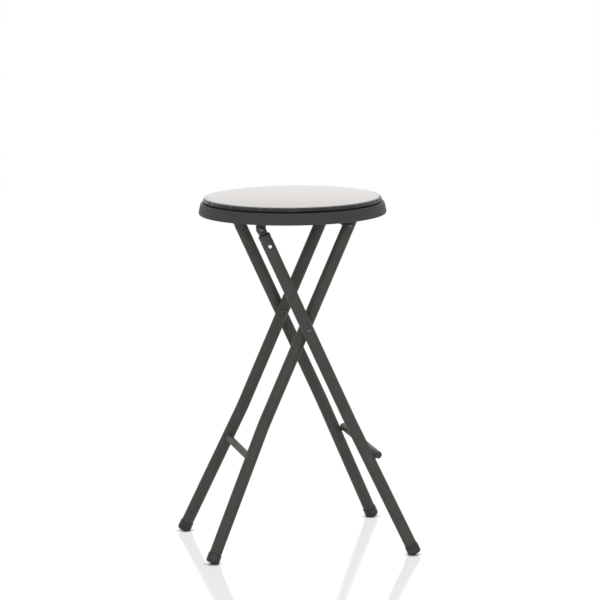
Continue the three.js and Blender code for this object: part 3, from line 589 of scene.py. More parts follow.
def buildCap(name, halfSpread, side, place, s):
    rise, outside, levels = s["rise"], s["outside"], s["levels"]
    top = rise + s["length"]
    low, high = rise + s["soleRound"], top - s["rimRound"] - s["rim"]
    line = [(0, rise), (s["soleRing"], rise)]
    line += arc(outside - s["soleRound"], low, s["soleRound"], -quarter, 0, s["soleSteps"])
    line += [(outside, low + (high - low) * i / levels) for i in range(1, levels + 1)]
    line += arc(outside - s["rimRound"], top - s["rimRound"], s["rimRound"], 0, quarter, s["rimSteps"])
    line += [(s["bore"] + s["mouthWide"], top), (s["bore"], top - s["mouthDeep"])]
    line += [(s["bore"], rise + s["sole"]), (0, rise + s["sole"])]
    points, faces = turned(line, s["reeds"] * s["samples"])
    out, down = halfSpread + lowerLength * sin(splay), stance["bendDrop"] + lowerLength * cos(splay)
    spot = place @ Matrix.Translation((0, side * out, -down)) @ Matrix.Rotation(side * splay, 4, "X")
    axis = (spot.to_3x3() @ Vector((0, 0, 1))).normalized()
    shaped = []
    for x, y, z in points:
        radius = hypot(x, y)
        if abs(radius - outside) < 1e-4 and low - 1e-4 < z < high + 1e-4:
            fade = min(1, (z - low) / s["runout"], (high - z) / s["runout"])
            reed = 1 - abs(cos(s["reeds"] / 2 * atan2(y, x))) ** s["reedPower"]
            share = 1 - s["reedDepth"] * reed * sqrt(max(fade, 0)) / radius
            x, y = x * share, y * share
        world = spot @ Vector((x, y, z))
        if world.z < 0:
            world -= axis * (world.z / axis.z)
        shaped.append(world)
    return newPiece(name, shaped, faces, capRubber, sharp=40)


for where, side in sides:
    for kind, place, halfSpread, mouth in legPairs:
        cap = buildCap(f"{kind}Foot_{where}", halfSpread, side, place, capShape)
        settle(cap, f"{kind}_frame", "foot_cap", f"{kind}_foot_{where}")
print("foot caps made")


# Foot rest, stretcher and their welds

barShape = {
    "radius": 6.0, "wall": 1.2, "edge": 0.35, "boreEdge": 0.2, "gap": 0.3, "count": 48,
    "footRestDrop": 238.0, "footRestHalf": 124.0, "stretcherDrop": 232.0,
    "plugLength": 9.0, "plugProud": 0.6, "plugRound": 0.9, "plugGap": 0.05, "dimple": 1.6, "dimpleFoot": 0.9,
    "dimpleDepth": 0.35, "plugCount": 40, "worn": 1.5, "footRestWeld": 72, "stretcherWeld": 84,
}
weldShape = {
    "bead": 1.25, "seat": 0.55, "ripple": 0.16, "pitch": 1.15, "wander": 0.12, "roam": 0.35, "count": 12,
}


# A bead of weld laid along a closed line, with the ripple of each run
def addWeld(name, path, place, body, s, seed):
    count, ring = len(path), s["count"]
    shift = random.Random(seed).random() * 10
    points = []
    length = 0
    for i in range(count):
        here, after = Vector(path[i]), Vector(path[(i + 1) % count])
        ahead = (after - Vector(path[i - 1])).normalized()
        across = ahead.cross(Vector((1, 0, 0)))
        across = across.normalized() if across.length > 0.2 else ahead.cross(Vector((0, 0, 1))).normalized()
        up = ahead.cross(across).normalized()
        run = s["ripple"] * abs(sin(pi * length / s["pitch"]))
        swell = 1 + run + s["wander"] * noise.noise(here * s["roam"] + Vector((shift, 0, 0)))
        for k in range(ring):
            angle = tau * k / ring
            points.append(here + (across * cos(angle) + up * sin(angle)) * s["bead"] * swell)
        length += (after - here).length
    weld = newPiece(name, points, loopFaces(count, ring), enamelPaint, place, sharp=80)
    settle(weld, body, "painted_steel")


# Where a leg's skin is, across from a bar that meets it at this level
def legAcross(halfSpread, side, drop, x, z, radius, outward):
    centre = halfSpread + (drop - stance["bendDrop"]) * tan(splay)
    reach = sqrt(max(radius * radius - x * x, 0)) * outward
    return side * (centre + (reach - z * sin(splay)) / cos(splay))


footRestX = tubeRadius + barShape["gap"] + barShape["radius"]


# Worn paint stays within s["worn"] of each end of a bar, where the extra rings are
def buildFootRest(s):
    radius, half, drop = s["radius"], s["footRestHalf"], s["footRestDrop"]
    inside, even, end = radius - s["wall"], half - s["worn"], half + s["plugProud"]
    line = softLine([
        (inside, -half, s["boreEdge"]), (radius, -half, s["edge"]), (radius, -even, 0),
        (radius, even, 0), (radius, half, s["edge"]), (inside, half, s["boreEdge"])], closed=True)
    place = acrossPlace(outerPlace, 1, footRestX, -drop)
    bar = turnedPiece("footRestBar", line, enamelPaint, place, s["count"], closed=True)
    settle(bar, "outer_frame", "painted_steel", "foot_rest_bar")
    bore, deep, low = inside - s["plugGap"], end - s["plugLength"], end - s["dimpleDepth"]
    line = softLine([
        (0, deep, 0), (bore, deep, 0.5), (bore, end, s["plugRound"]),
        (s["dimple"], end, 0.4), (s["dimpleFoot"], low, 0.3), (0, low, 0)])
    grip, hold = radius + weldShape["seat"], tubeRadius + weldShape["seat"]
    widest = acos((footRestX - hold) / grip)
    for where, side in sides:
        place = acrossPlace(outerPlace, side, footRestX, -drop)
        plug = turnedPiece(f"footRestPlug_{where}", line, blackPlastic, place, s["plugCount"])
        settle(plug, "outer_frame", "black_plastic", f"foot_rest_plug_{where}")
        path = []
        for i in range(s["footRestWeld"]):
            turn = tau * i / s["footRestWeld"]
            angle = widest * sin(turn)
            x, z = footRestX - grip * cos(angle), grip * sin(angle)
            y = legAcross(outerSpread, side, drop, x, z, hold, 1 if cos(turn) > 0 else -1)
            path.append((x, y, z - drop))
        addWeld(f"footRestWeld_{where}", path, outerPlace, "outer_frame", weldShape, 11 + side)


# Each end of the stretcher follows the skin of the leg that it meets
def stretcherRing(side, radius, hold, inset, count, drop):
    ring = []
    for i in range(count):
        x, z = radius * cos(tau * i / count), radius * sin(tau * i / count)
        y = legAcross(innerSpread, side, drop, x, z, hold, -1)
        ring.append((x, y - side * inset, z - drop))
    return ring


def buildStretcher(s):
    radius, bore, worn, drop = s["radius"], s["radius"] - s["wall"], s["worn"], s["stretcherDrop"]
    rings = [(radius, -1, 0), (radius, -1, worn), (radius, 1, worn), (radius, 1, 0)]
    rings += [(bore, 1, 0), (bore, -1, 0)]
    points = []
    for reach, side, inset in rings:
        points += stretcherRing(side, reach, tubeRadius + s["gap"], inset, s["count"], drop)
    bar = newPiece("innerStretcher", points, loopFaces(len(rings), s["count"]), enamelPaint, innerPlace)
    settle(bar, "inner_frame", "painted_steel", "inner_stretcher")
    seat = weldShape["seat"]
    for where, side in sides:
        path = stretcherRing(side, radius + seat, tubeRadius + seat, 0, s["stretcherWeld"], drop)
        addWeld(f"stretcherWeld_{where}", path, innerPlace, "inner_frame", weldShape, 21 + side)


buildFootRest(barShape)
buildStretcher(barShape)
print("bars and welds made")


# Scissor pivots, cross rod and the outer legs' rivets

rivetShape = {
    "pin": 3.0, "head": 4.4, "headHeight": 2.4, "headEdge": (0.2, 0.25),
    "tail": 4.3, "tailHeight": 1.4, "tailBore": 1.9, "tailDepth": 7.0, "tailCrest": 0.45,
    "washer": 7.5, "washerThickness": 0.9, "gap": 0.3,
    "blindPin": 2.0, "blindLength": 9.0, "blindHead": 3.1, "blindHeight": 1.5, "blindEdge": (0.15, 0.2),
    "blindBore": 0.9, "blindRim": 0.35, "blindDepth": 1.6,
    "rod": 3.2, "rodHead": 4.1, "rodHeadHeight": 2.5, "rodEdge": (0.3, 0.3), "sleeve": 6.0, "sleeveBore": 3.7,
}


def buildPivots(s):
    pin, tail, bore, gap = s["pin"], s["tail"], s["tailBore"], s["gap"]
    headStart = outerSpread + tubeRadius + gap
    tailEnd = innerSpread - tubeRadius - gap
    tailStart = tailEnd - s["tailHeight"]
    pinLine = [(0, tailStart + s["tailDepth"]), (bore, tailStart + s["tailDepth"])] + softLine([
        (bore, tailStart + 1, 0), (bore, tailStart, 0.5),
        ((bore + tail) / 2, tailStart - s["tailCrest"], 0.8), (tail, tailStart + 0.1, 0.8),
        (tail, tailEnd, 0.3), (pin, tailEnd, 0)])
    pinLine += headLine(pin, s["head"], headStart, s["headHeight"], s["headEdge"])
    low = innerSpread + tubeRadius + gap
    high, hole, washer = low + s["washerThickness"], pin + gap, s["washer"]
    corners = [(hole, low, 0.1), (washer, low, 0.3), (washer, high, 0.3), (hole, high, 0.1)]
    washerLine = softLine(corners, closed=True)

    level, deep = headStart + s["blindHeight"], headStart - s["blindLength"]
    rim = s["blindBore"] + s["blindRim"]
    domed = headLine(s["blindPin"], s["blindHead"], headStart, s["blindHeight"], s["blindEdge"], 16)
    blindLine = [(0, deep), (s["blindPin"], deep)] + [p for p in domed if p[0] > rim] + softLine([
        (rim, level, 0), (s["blindBore"], level - 0.1, 0.25), (s["blindBore"], level - s["blindDepth"], 0.2),
        (0, level - s["blindDepth"] + 0.3, 0)])
    for where, side in sides:
        place = acrossPlace(outerPlace, side, 0, 0)
        piece = turnedPiece(f"pivotRivet_{where}", pinLine, blackened, place)
        settle(piece, "outer_frame", "black_steel", f"pivot_rivet_{where}")
        piece = turnedPiece(f"pivotWasher_{where}", washerLine, blackPlastic, place, closed=True)
        settle(piece, "outer_frame", "black_plastic", f"pivot_washer_{where}")
        place = acrossPlace(outerPlace, side, 0, stance["outerMouth"] - legShape["rivetDrop"])
        piece = turnedPiece(f"plugRivet_{where}", blindLine, aluminium, place)
        settle(piece, "outer_frame", "aluminium", f"plug_rivet_{where}")


def buildCrossRod(s):
    start = innerSpread + tubeRadius + s["gap"]
    half = headLine(s["rod"], s["rodHead"], start, s["rodHeadHeight"], s["rodEdge"])
    line = [(r, -h) for r, h in reversed(half)] + half
    place = acrossPlace(innerPlace, 1, 0, stance["rodRise"])
    rod = turnedPiece("topCrossRod", line, blackened, place)
    settle(rod, "inner_frame", "black_steel", "top_cross_rod")
    end = innerSpread - tubeRadius - s["gap"]
    bore, skin = s["sleeveBore"], s["sleeve"]
    line = softLine([(bore, -end, 0.2), (skin, -end, 0.3), (skin, end, 0.3), (bore, end, 0.2)], closed=True)
    sleeve = turnedPiece("topRodSleeve", line, blackPlastic, place, closed=True)
    settle(sleeve, "inner_frame", "black_plastic", "top_rod_sleeve")


buildPivots(rivetShape)
buildCrossRod(rivetShape)
print("pivots and rod made")


# Hinge plugs, seat brackets and rod hooks

hingeShape = {
    "plugLength": 30.0, "plugGap": 0.3, "plugTip": 1.5, "grooveHalf": 3.0, "dentHalf": 1.0, "soft": 0.8,
    "shoulder": 0.6, "shoulderRound": 1.2, "crown": 0.4,
    "tongueWidth": 14.6, "tongueThickness": 5.0, "tongueTop": 7.3, "tongueCorner": 2.6, "tongueEdge": 0.7,
    "tongueRoot": 6.0, "tongueTaper": 0.2, "tongueStart": 2.0, "tongueSteps": 10, "tongueBevels": 3,
    "eye": 3.1, "eyeCount": 40, "drillHalf": 9.0, "pin": 2.8, "head": 4.5, "headHeight": 2.2,
    "headEdge": (0.2, 0.25), "tail": 4.0, "tailHeight": 1.3, "gap": 0.3,
    "sheet": 2.0, "bend": 1.0, "ear": 8.0, "earTop": 9.0, "earStart": 0.6, "earTip": 0.4, "narrowing": 0.6,
    "flangeHalf": 20.0, "flangeReach": 26.2, "flangeCorner": 4.0, "sheetEdge": 0.3,
    "sheetBevels": 2, "sheetAngle": 60, "columns": 9, "flatSteps": 6, "turnSteps": 8, "narrowSteps": 3,
    "roundSteps": 18,
    "screwStep": 13.0, "screwInset": 6.0,
}
hookShape = {
    "thick": 10.0, "inset": 0.8, "radius": 9.8, "bore": 6.4, "neck": 12.0, "flangeHalf": 23.0, "flange": 4.0,
    "flare": 5.0, "lipStart": 0.72, "lipRise": 0.8, "foldShare": 0.412, "screwStep": 17.6, "edge": 0.6,
    "bevels": 2, "leftSteps": 10, "boreSteps": 28, "rightSteps": 22,
}
panShape = {
    "radius": 155.0, "topRadius": 151.5, "depth": 19.3, "wall": 3.0, "deck": 2.5, "lip": 1.6, "rim": 5.0,
    "hem": 4.0, "hemTurn": 3.2, "hemRise": 2.0, "skirtRise": 4.2, "skirtRound": 3.6,
    "softSteps": 7, "count": 224,
    "ribs": 12, "ribThick": 2.2, "ribTip": 1.5, "ribDepth": 7.5, "ribRound": 0.3, "ribStep": 12.0,
    "ribShortest": 3, "ribInset": 2, "ringCount": 160, "bossCount": 40,
    "ring": 60.0, "margin": 1.8, "overlap": 0.6, "search": 0.5,
    "boss": 6.0, "bossDepth": 4.0, "bossReach": 42.0, "bosses": 4, "bossFlare": 0.5, "bossHole": 2.1,
}
deckTop = panShape["depth"] - panShape["lip"]
deckUnder = deckTop - panShape["deck"]
flangeTop = deckUnder - hingeShape["gap"]
hingeX = -stance["hingeRise"] * sin(lean)
hingeZ = stance["pivotHeight"] + stance["hingeRise"] * cos(lean)
rodX = stance["rodRise"] * sin(lean)
rodZ = stance["pivotHeight"] + stance["rodRise"] * cos(lean)
earOuter = outerSpread - hingeShape["tongueThickness"] / 2 - hingeShape["gap"]
earInner = earOuter - hingeShape["sheet"]
flangeEdge = earOuter - hingeShape["flangeReach"]
sleeveEnd = innerSpread - tubeRadius - rivetShape["gap"]
hookStart = sleeveEnd - hookShape["inset"] - hookShape["thick"]


def buildHinges(s):
    bore = tubeRadius - legShape["wall"] - s["plugGap"]
    mouth, rise = stance["outerMouth"], stance["hingeRise"]
    groove, dent = mouth - legShape["crimpDrop"], bore - legShape["crimpDepth"]
    deep, top = mouth - s["plugLength"], mouth + s["shoulder"]
    plugLine = softLine([
        (0, deep, 0), (bore, deep, s["plugTip"]), (bore, groove - s["grooveHalf"], s["soft"]),
        (dent, groove - s["dentHalf"], s["soft"]), (dent, groove + s["dentHalf"], s["soft"]),
        (bore, groove + s["grooveHalf"], s["soft"]), (bore, top, s["shoulderRound"]),
        (0, top + s["crown"], 0)])
    half, corner, thick = s["tongueWidth"] / 2, s["tongueCorner"], s["tongueThickness"] / 2
    foot, start = mouth - s["tongueRoot"], mouth + s["tongueStart"]
    cornerX, cornerZ = half - corner, rise + s["tongueTop"] - corner
    outline = [(-half + s["tongueTaper"], foot), (half - s["tongueTaper"], foot), (half, start)]
    outline += arc(cornerX, cornerZ, corner, 0, quarter, s["tongueSteps"])
    outline += arc(-cornerX, cornerZ, corner, quarter, pi, s["tongueSteps"]) + [(-half, start)]
    headStart, tailEnd = outerSpread + thick + s["gap"], earInner - s["gap"]
    tailStart = tailEnd - s["tailHeight"]
    tail, pin = s["tail"], s["pin"]
    pinLine = softLine([(0, tailStart, 0), (tail, tailStart, 0.5), (tail, tailEnd, 0.25), (pin, tailEnd, 0)])
    pinLine += headLine(pin, s["head"], headStart, s["headHeight"], s["headEdge"])
    for where, side in sides:
        place = outerPlace @ Matrix.Translation((0, side * outerSpread, 0))
        body = turnedPiece("plugBody", plugLine, blackPlastic, place)
        edge, bevels, reach = s["tongueEdge"], s["tongueBevels"], s["drillHalf"]
        tongue = plate("plugTongue", outline, -thick, thick, blackPlastic, place, edge, bevels)
        cutAway(tongue, [drill(s["eye"], place, -reach, reach, 1, rise, s["eyeCount"])])
        plug = joinPieces(f"hingePlug_{where}", [body, tongue])
        settle(plug, "outer_frame", "black_plastic", f"hinge_plug_{where}")
        rivet = turnedPiece(f"hingeRivet_{where}", pinLine, blackened, acrossPlace(outerPlace, side, 0, rise))
        settle(rivet, "outer_frame", "black_steel", f"hinge_rivet_{where}")


# Half sections of the bent sheet as (outer point, inner point, half width), from the flange's edge round the
# bend and down the ear
def bracketRows(s):
    top = stance["seatHeight"] + flangeTop - hingeZ
    under = top - s["sheet"]
    bend, ear, earTop, corner = s["bend"], s["ear"], s["earTop"], s["flangeCorner"]
    flangeHalf, flat, count = s["flangeHalf"], s["flatSteps"], s["turnSteps"]
    cornerEnd, bendAt = flangeEdge + corner, earInner - bend
    reaches = [flangeEdge + corner * i / flat for i in range(flat + 1)]
    reaches += [cornerEnd + (bendAt - cornerEnd) * i / flat for i in range(1, flat + 1)]
    rows = []
    for reach in reaches:
        short = corner - sqrt(max(corner ** 2 - max(cornerEnd - reach, 0) ** 2, 0))
        rows.append(((reach, top), (reach, under), flangeHalf - short))
    outer, inner = [arc(bendAt, under - bend, bend + more, quarter, 0, count) for more in (s["sheet"], 0)]
    for i in range(1, count + 1):
        narrow = max(i - count + s["narrowSteps"], 0) / s["narrowSteps"]
        half = flangeHalf - (flangeHalf - earTop - s["earStart"]) * narrow ** s["narrowing"]
        rows.append((outer[i], inner[i], half))
    touch = atan2(under, earTop) - acos(ear / hypot(earTop, under))
    endX, endZ = ear * cos(touch), ear * sin(touch)
    ends = []
    for i in range(1, flat + 1):
        level = (under - bend) + (endZ - under + bend) * i / flat
        ends.append((level, earTop + (endX - earTop) * (under - level) / (under - endZ)))
    for i in range(1, s["roundSteps"] + 1):
        angle = touch - (touch + quarter) * i / s["roundSteps"]
        ends.append((ear * sin(angle), max(ear * cos(angle), s["earTip"])))
    return rows + [((earOuter, level), (earInner, level), half) for level, half in ends]


def buildBracket(where, side, s):
    rows, columns = bracketRows(s), s["columns"]
    points, faces = [], []
    for outer, inner, half in rows:
        for y, z in (outer, inner):
            points += [(half * (2 * c / (columns - 1) - 1), y, z) for c in range(columns)]
    step = 2 * columns
    for r in range(len(rows) - 1):
        for c in range(columns - 1):
            for a in (r * step + c, r * step + columns + c):
                faces.append((a, a + 1, a + step + 1, a + step))
        for a in (r * step, r * step + columns - 1):
            faces.append((a, a + columns, a + columns + step, a + step))
    for r in (0, len(rows) - 1):
        for a in range(r * step, r * step + columns - 1):
            faces.append((a, a + 1, a + columns + 1, a + columns))
    turn = Matrix.Rotation(pi, 4, "Z") if side < 0 else Matrix()
    place = Matrix.Translation((hingeX, 0, hingeZ)) @ turn
    bracket = newPiece(f"hingeBracket_{where}", points, faces, blackened, place)
    roundEdges(bracket, s["sheetEdge"], s["sheetBevels"], s["sheetAngle"])
    settle(bracket, "seat", "black_steel", f"hinge_bracket_{where}")


# The slot lies along the way in which the rod first leaves the hook as the stool folds
def buildHook(where, side, s):
    radius, bore, neck, share = s["radius"], s["bore"], s["neck"], s["foldShare"]
    flangeHalf = s["flangeHalf"]
    top = stance["seatHeight"] + flangeTop - rodZ
    under = top - s["flange"]
    left = atan2(under, -neck) + acos(radius / hypot(neck, under))
    driftX = -share * (rodZ - stance["pivotHeight"]) + (rodZ - hingeZ)
    driftZ = share * rodX - (rodX - hingeX)
    slot = atan2(driftZ, driftX) % tau
    flare = tan(radians(s["flare"]))
    reach = radius * s["lipStart"]
    for _ in range(8):  # where the slot's flared lip meets the hook's round back
        half = bore + reach * flare
        reach = sqrt(radius ** 2 - half ** 2)
    lipOut, lipIn = asin(s["lipRise"] / radius), asin(s["lipRise"] / bore)
    outline = [(-flangeHalf, top), (-flangeHalf, under), (-neck, under)]
    outline += arc(0, 0, radius, left, pi - lipOut, s["leftSteps"])
    outline += arc(0, 0, bore, pi - lipIn, slot - 3 * quarter, s["boreSteps"])
    outline += arc(0, 0, radius, slot + atan2(half, reach), tau + pi - left, s["rightSteps"])
    outline += [(neck, under), (flangeHalf, under), (flangeHalf, top)]
    start = hookStart if side > 0 else -hookStart - s["thick"]
    place = Matrix.Translation((rodX, 0, rodZ))
    end, edge, bevels = start + s["thick"], s["edge"], s["bevels"]
    hook = plate(f"rodHook_{where}", outline, start, end, blackPlastic, place, edge, bevels)
    settle(hook, "seat", "black_plastic", f"rod_hook_{where}")


buildHinges(hingeShape)
for where, side in sides:
    buildBracket(where, side, hingeShape)
    buildHook(where, side, hookShape)
print("hinges and hooks made")


# Screws with a cross recess, head down, each turned by chance

screwShape = {
    "shank": 1.8, "head": 4.0, "headHeight": 2.5, "rim": 0.25, "edge": 0.2, "tip": 2.2, "bite": 5.6,
    "gap": 0.3, "count": 96, "steps": 30, "evenSteps": 22, "evenReach": 0.9135,
    "crossHalf": 0.48, "crossReach": 2.1, "crossDepth": 1.5, "crossSlope": 0.16, "crossFade": 0.45,
    "cutBelow": 0.3,
}


def addScrew(name, x, y, under, node, s):
    seat, head, edge, reach = under - s["gap"], s["head"], s["edge"], s["crossReach"]
    length = deckTop + s["bite"] - seat
    line = [(0, -s["headHeight"])]
    for i in range(1, s["steps"]):
        even = i <= s["evenSteps"]  # even steps where the cross is cut, then finer ones to the rim
        radius = head * (s["evenReach"] * i / s["evenSteps"] if even else sin(i / s["steps"] * quarter))
        drop = (s["headHeight"] - s["rim"]) * sqrt(max(1 - (radius / head) ** 2, 0))
        line.append((radius, -s["rim"] - drop))
    line += [(head, -edge), (head - edge, 0), (s["shank"], 0), (s["shank"], length - s["tip"]), (0, length)]
    points, faces = turned(line, s["count"])
    turn = random.Random(name).random() * pi
    cut = []
    for px, py, pz in points:
        u = abs(px * cos(turn) + py * sin(turn))
        v = abs(py * cos(turn) - px * sin(turn))
        arm = max(min(s["crossHalf"] - u, reach - v), min(s["crossHalf"] - v, reach - u))
        depth = s["crossDepth"] * (1 - s["crossFade"] * max(u, v) / reach)
        sink = min(max(arm / s["crossSlope"] + 0.5, 0), 1) * depth if pz < -s["cutBelow"] else 0
        cut.append((px, py, pz + sink))
    screw = newPiece(name, cut, faces, zinc, seatPlace @ Matrix.Translation((x, y, seat)), sharp=50)
    settle(screw, "seat", "zinc_steel", node)


fittings = (
    ("bracket", hingeX, flangeEdge + hingeShape["screwInset"], hingeShape["screwStep"], hingeShape["sheet"]),
    ("hook", rodX, hookStart + hookShape["thick"] / 2, hookShape["screwStep"], hookShape["flange"]),
)
for where, side in sides:
    for hand, way in (("left", -1), ("right", 1)):
        for kind, x, y, step, thick in fittings:
            name, node = f"{kind}Screw_{where}_{hand}", f"{kind}_screw_{where}_{hand}"
            addScrew(name, x + way * step, side * y, flangeTop - thick, node, screwShape)
bosses, bossReach = panShape["bosses"], panShape["bossReach"]
bossAngles = [(i + 0.5) / bosses * tau for i in range(bosses)]
bossSpots = [(bossReach * cos(angle), bossReach * sin(angle)) for angle in bossAngles]
for i, (x, y) in enumerate(bossSpots):
    addScrew(f"panScrew_{i + 1}", x, y, deckUnder - panShape["bossDepth"], f"pan_screw_{i + 1}", screwShape)
print("screws made")


# Seat pan: flared skirt with a turned hem, raised rim, and ribs under the deck with pockets for the fittings

pockets = (
    (hingeX, hingeShape["flangeHalf"], flangeEdge, earOuter),
    (rodX, hookShape["flangeHalf"], hookStart, hookStart + hookShape["thick"]),
)


def insidePocket(x, y, margin):
    return any(
        abs(x - middleX) < half + margin and low - margin < abs(y) < high + margin
        for middleX, half, low, high in pockets)


# A rib's cross-section as (offset, height), from the deck down and up again
def ribSection(s):
    root, tip, soft = s["ribThick"] / 2, s["ribTip"] / 2, s["ribRound"]
    bottom = deckUnder - s["ribDepth"]
    down = [(root, deckUnder + s["overlap"]), (root, deckUnder), (tip, bottom + soft), (tip - soft, bottom)]
    return [(-x, z) for x, z in down] + down[::-1]


def buildRib(angle, start, end, s):
    count = max(2, int((end - start) / s["ribStep"]))
    stops = [start + (end - start) * i / count for i in range(count + 1)]
    rings = [[(stop, x, z) for x, z in ribSection(s)] for stop in stops]
    return prism("rib", rings, panPlastic, seatPlace @ Matrix.Rotation(angle, 4, "Z"))


# The stretches of a rib that are clear of the pockets
def clearStretches(angle, s):
    clear, start, reach, end = [], None, s["ring"], s["topRadius"] - s["ribInset"]
    while reach <= end:
        hit = insidePocket(reach * cos(angle), reach * sin(angle), s["margin"])
        if not hit and start is None:
            start = reach
        if hit and start is not None:
            clear.append((start, reach))
            start = None
        reach += s["search"]
    if start is not None:
        clear.append((start, end))
    return [(a, b) for a, b in clear if b - a > s["ribShortest"]]


def buildPan(s):
    inside, over = s["radius"] - s["wall"], deckUnder + s["overlap"]
    line = softLine([
        (0, deckUnder, 0), (s["topRadius"] - s["wall"] - 0.6, deckUnder, 2.6), (inside, s["hem"] + 0.6, 1.4),
        (inside - s["hemTurn"], s["hemRise"], 0.9), (inside - s["hemTurn"], 0, 0.7),
        (s["radius"] - 0.4, 0, s["skirtRound"]), (s["radius"], s["skirtRise"], 1.2),
        (s["topRadius"], s["depth"] - 0.3, 2.6), (s["topRadius"] - s["rim"] + 0.4, s["depth"], 1.0),
        (s["topRadius"] - s["rim"] - s["lip"], deckTop, 0.8), (0, deckTop, 0)], steps=s["softSteps"])
    parts = [turnedPiece("panShell", line, panPlastic, seatPlace, s["count"])]
    ring = [(s["ring"] + x, z) for x, z in ribSection(s)]
    parts.append(turnedPiece("panRing", ring, panPlastic, seatPlace, s["ringCount"], closed=True))
    for i in range(s["ribs"]):
        angle = tau * i / s["ribs"]
        parts += [buildRib(angle, start, end, s) for start, end in clearStretches(angle, s)]
    boss, hole, low = s["boss"], s["bossHole"], deckUnder - s["bossDepth"]
    line = softLine([
        (0, over, 0), (boss + s["bossFlare"], over, 0), (boss + s["bossFlare"], deckUnder, 0.6),
        (boss, low, 0.5), (hole, low, 0.3), (hole, deckUnder, 0), (0, deckUnder, 0)])
    for x, y in bossSpots:
        place = seatPlace @ Matrix.Translation((x, y, 0))
        parts.append(turnedPiece("panBoss", line, panPlastic, place, s["bossCount"]))
    pan = joinPieces("seatPan", parts)
    settle(pan, "seat", "pan_plastic", "seat_pan")


buildPan(panShape)
print("pan made")


# Cushion: a crowned foam pad in tight vinyl, swollen by a short cloth simulation

cushionShape = {
    "widest": 148.6, "seated": 140.0, "crownEdge": 145.6, "power": 2.6, "start": 0.35, "count": 128,
    "widestRise": 7.0, "shoulderRise": 9.9, "crownRise": 18.4, "startInset": 1.6, "shoulderShare": 0.6,
    "crownShare": 0.4, "roundSteps": 8, "crownSteps": 20, "sampling": 0.2, "draw": 0.92, "fill": 0.85,
    "ripple": {
        "height": 0.05, "rate": 9, "place": (3.7, 1.2, 8.1), "reach": (118.0, 20.0), "level": (0.25, 0.3),
    },
    "evening": {"factor": 0.5, "iterations": 6, "use_only_smooth": True},
}
swellShape = {
    "voxel": 4.5, "frames": 20, "cap": 4.0, "ring": 3.0, "uneven": 0.3, "heldRise": 3.0,
    "cloth": {
        "quality": 6, "mass": 0.4, "vertex_group_mass": "held", "use_pressure": True,
        "uniform_pressure_force": 4.0, "tension_stiffness": 40, "compression_stiffness": 40,
        "shear_stiffness": 20, "bending_stiffness": 6,
    },
}


# The pad's outline as (radius, height), drawn in by an inset
def cushionLine(inset, s):
    steps, crown = s["roundSteps"], s["crownSteps"]
    low = deckTop + s["start"] + inset
    widest = deckTop + s["widestRise"]
    line = [(0, low), (s["seated"] - inset, low)]
    turns = [i / steps * quarter for i in range(1, steps + 1)]
    for angle in turns:
        radius = s["seated"] + (s["widest"] - s["seated"]) * sin(angle) - inset
        line.append((radius, widest - (widest - low) * cos(angle)))
    shoulder = s["shoulderRise"] - s["widestRise"] - inset * s["shoulderShare"]
    for angle in turns:
        radius = s["crownEdge"] + (s["widest"] - s["crownEdge"]) * cos(angle) - inset
        line.append((radius, widest + shoulder * sin(angle)))
    edge, level = line[-1]
    rise = s["crownRise"] - s["shoulderRise"] - inset * s["crownShare"]
    for i in range(crown - 1, -1, -1):
        share = i / crown
        line.append((edge * share, level + rise * (1 - share ** s["power"])))
    return line


# Where the cloth moves each point of the piece, which is held at its foot
def clothMoved(piece, mesh, s):
    held = piece.vertex_groups.new(name="held")
    floor = (stance["seatHeight"] + deckTop + s["heldRise"]) / 1000
    held.add([v.index for v in mesh.vertices if v.co.z < floor], 1.0, "REPLACE")
    cloth = piece.modifiers.new("cloth", "CLOTH")
    for key, value in s["cloth"].items():
        setattr(cloth.settings, key, value)
    cloth.settings.effector_weights.gravity = 0
    scene = bpy.context.scene
    for step in range(1, s["frames"] + 1):
        scene.frame_set(step)
    graph = bpy.context.evaluated_depsgraph_get()
    moved = [v.co.copy() for v in piece.evaluated_get(graph).data.vertices]
    piece.modifiers.clear()
    piece.vertex_groups.clear()
    scene.frame_set(1)
    return moved


# Moves are capped, and each point keeps a share of its difference from the mean of its ring
def swell(piece, s):
    remesh = piece.modifiers.new("remesh", "REMESH")
    remesh.mode = "VOXEL"
    remesh.voxel_size = s["voxel"] / 1000
    mesh = applyModifiers(piece)
    rest = [v.co.copy() for v in mesh.vertices]
    moves = []
    rings = {}
    for was, now in zip(rest, clothMoved(piece, mesh, s)):
        reach = hypot(was.x, was.y)
        out, rise = hypot(now.x, now.y) - reach, now.z - was.z
        kept = min(1, s["cap"] / 1000 / max(hypot(out, rise), 1e-9))
        ring = (round(reach * 1000 / s["ring"]), round(was.z * 1000 / s["ring"]))
        moves.append((ring, out * kept, rise * kept))
        rings.setdefault(ring, []).append((out * kept, rise * kept))
    means = {ring: [sum(part) / len(found) for part in zip(*found)] for ring, found in rings.items()}
    for vertex, was, (ring, out, rise) in zip(mesh.vertices, rest, moves):
        meanOut, meanRise = means[ring]
        reach = hypot(was.x, was.y)
        grown = reach + meanOut + (out - meanOut) * s["uneven"]
        share = grown / reach if reach > 0.001 else 1
        vertex.co = (was.x * share, was.y * share, was.z + meanRise + (rise - meanRise) * s["uneven"])


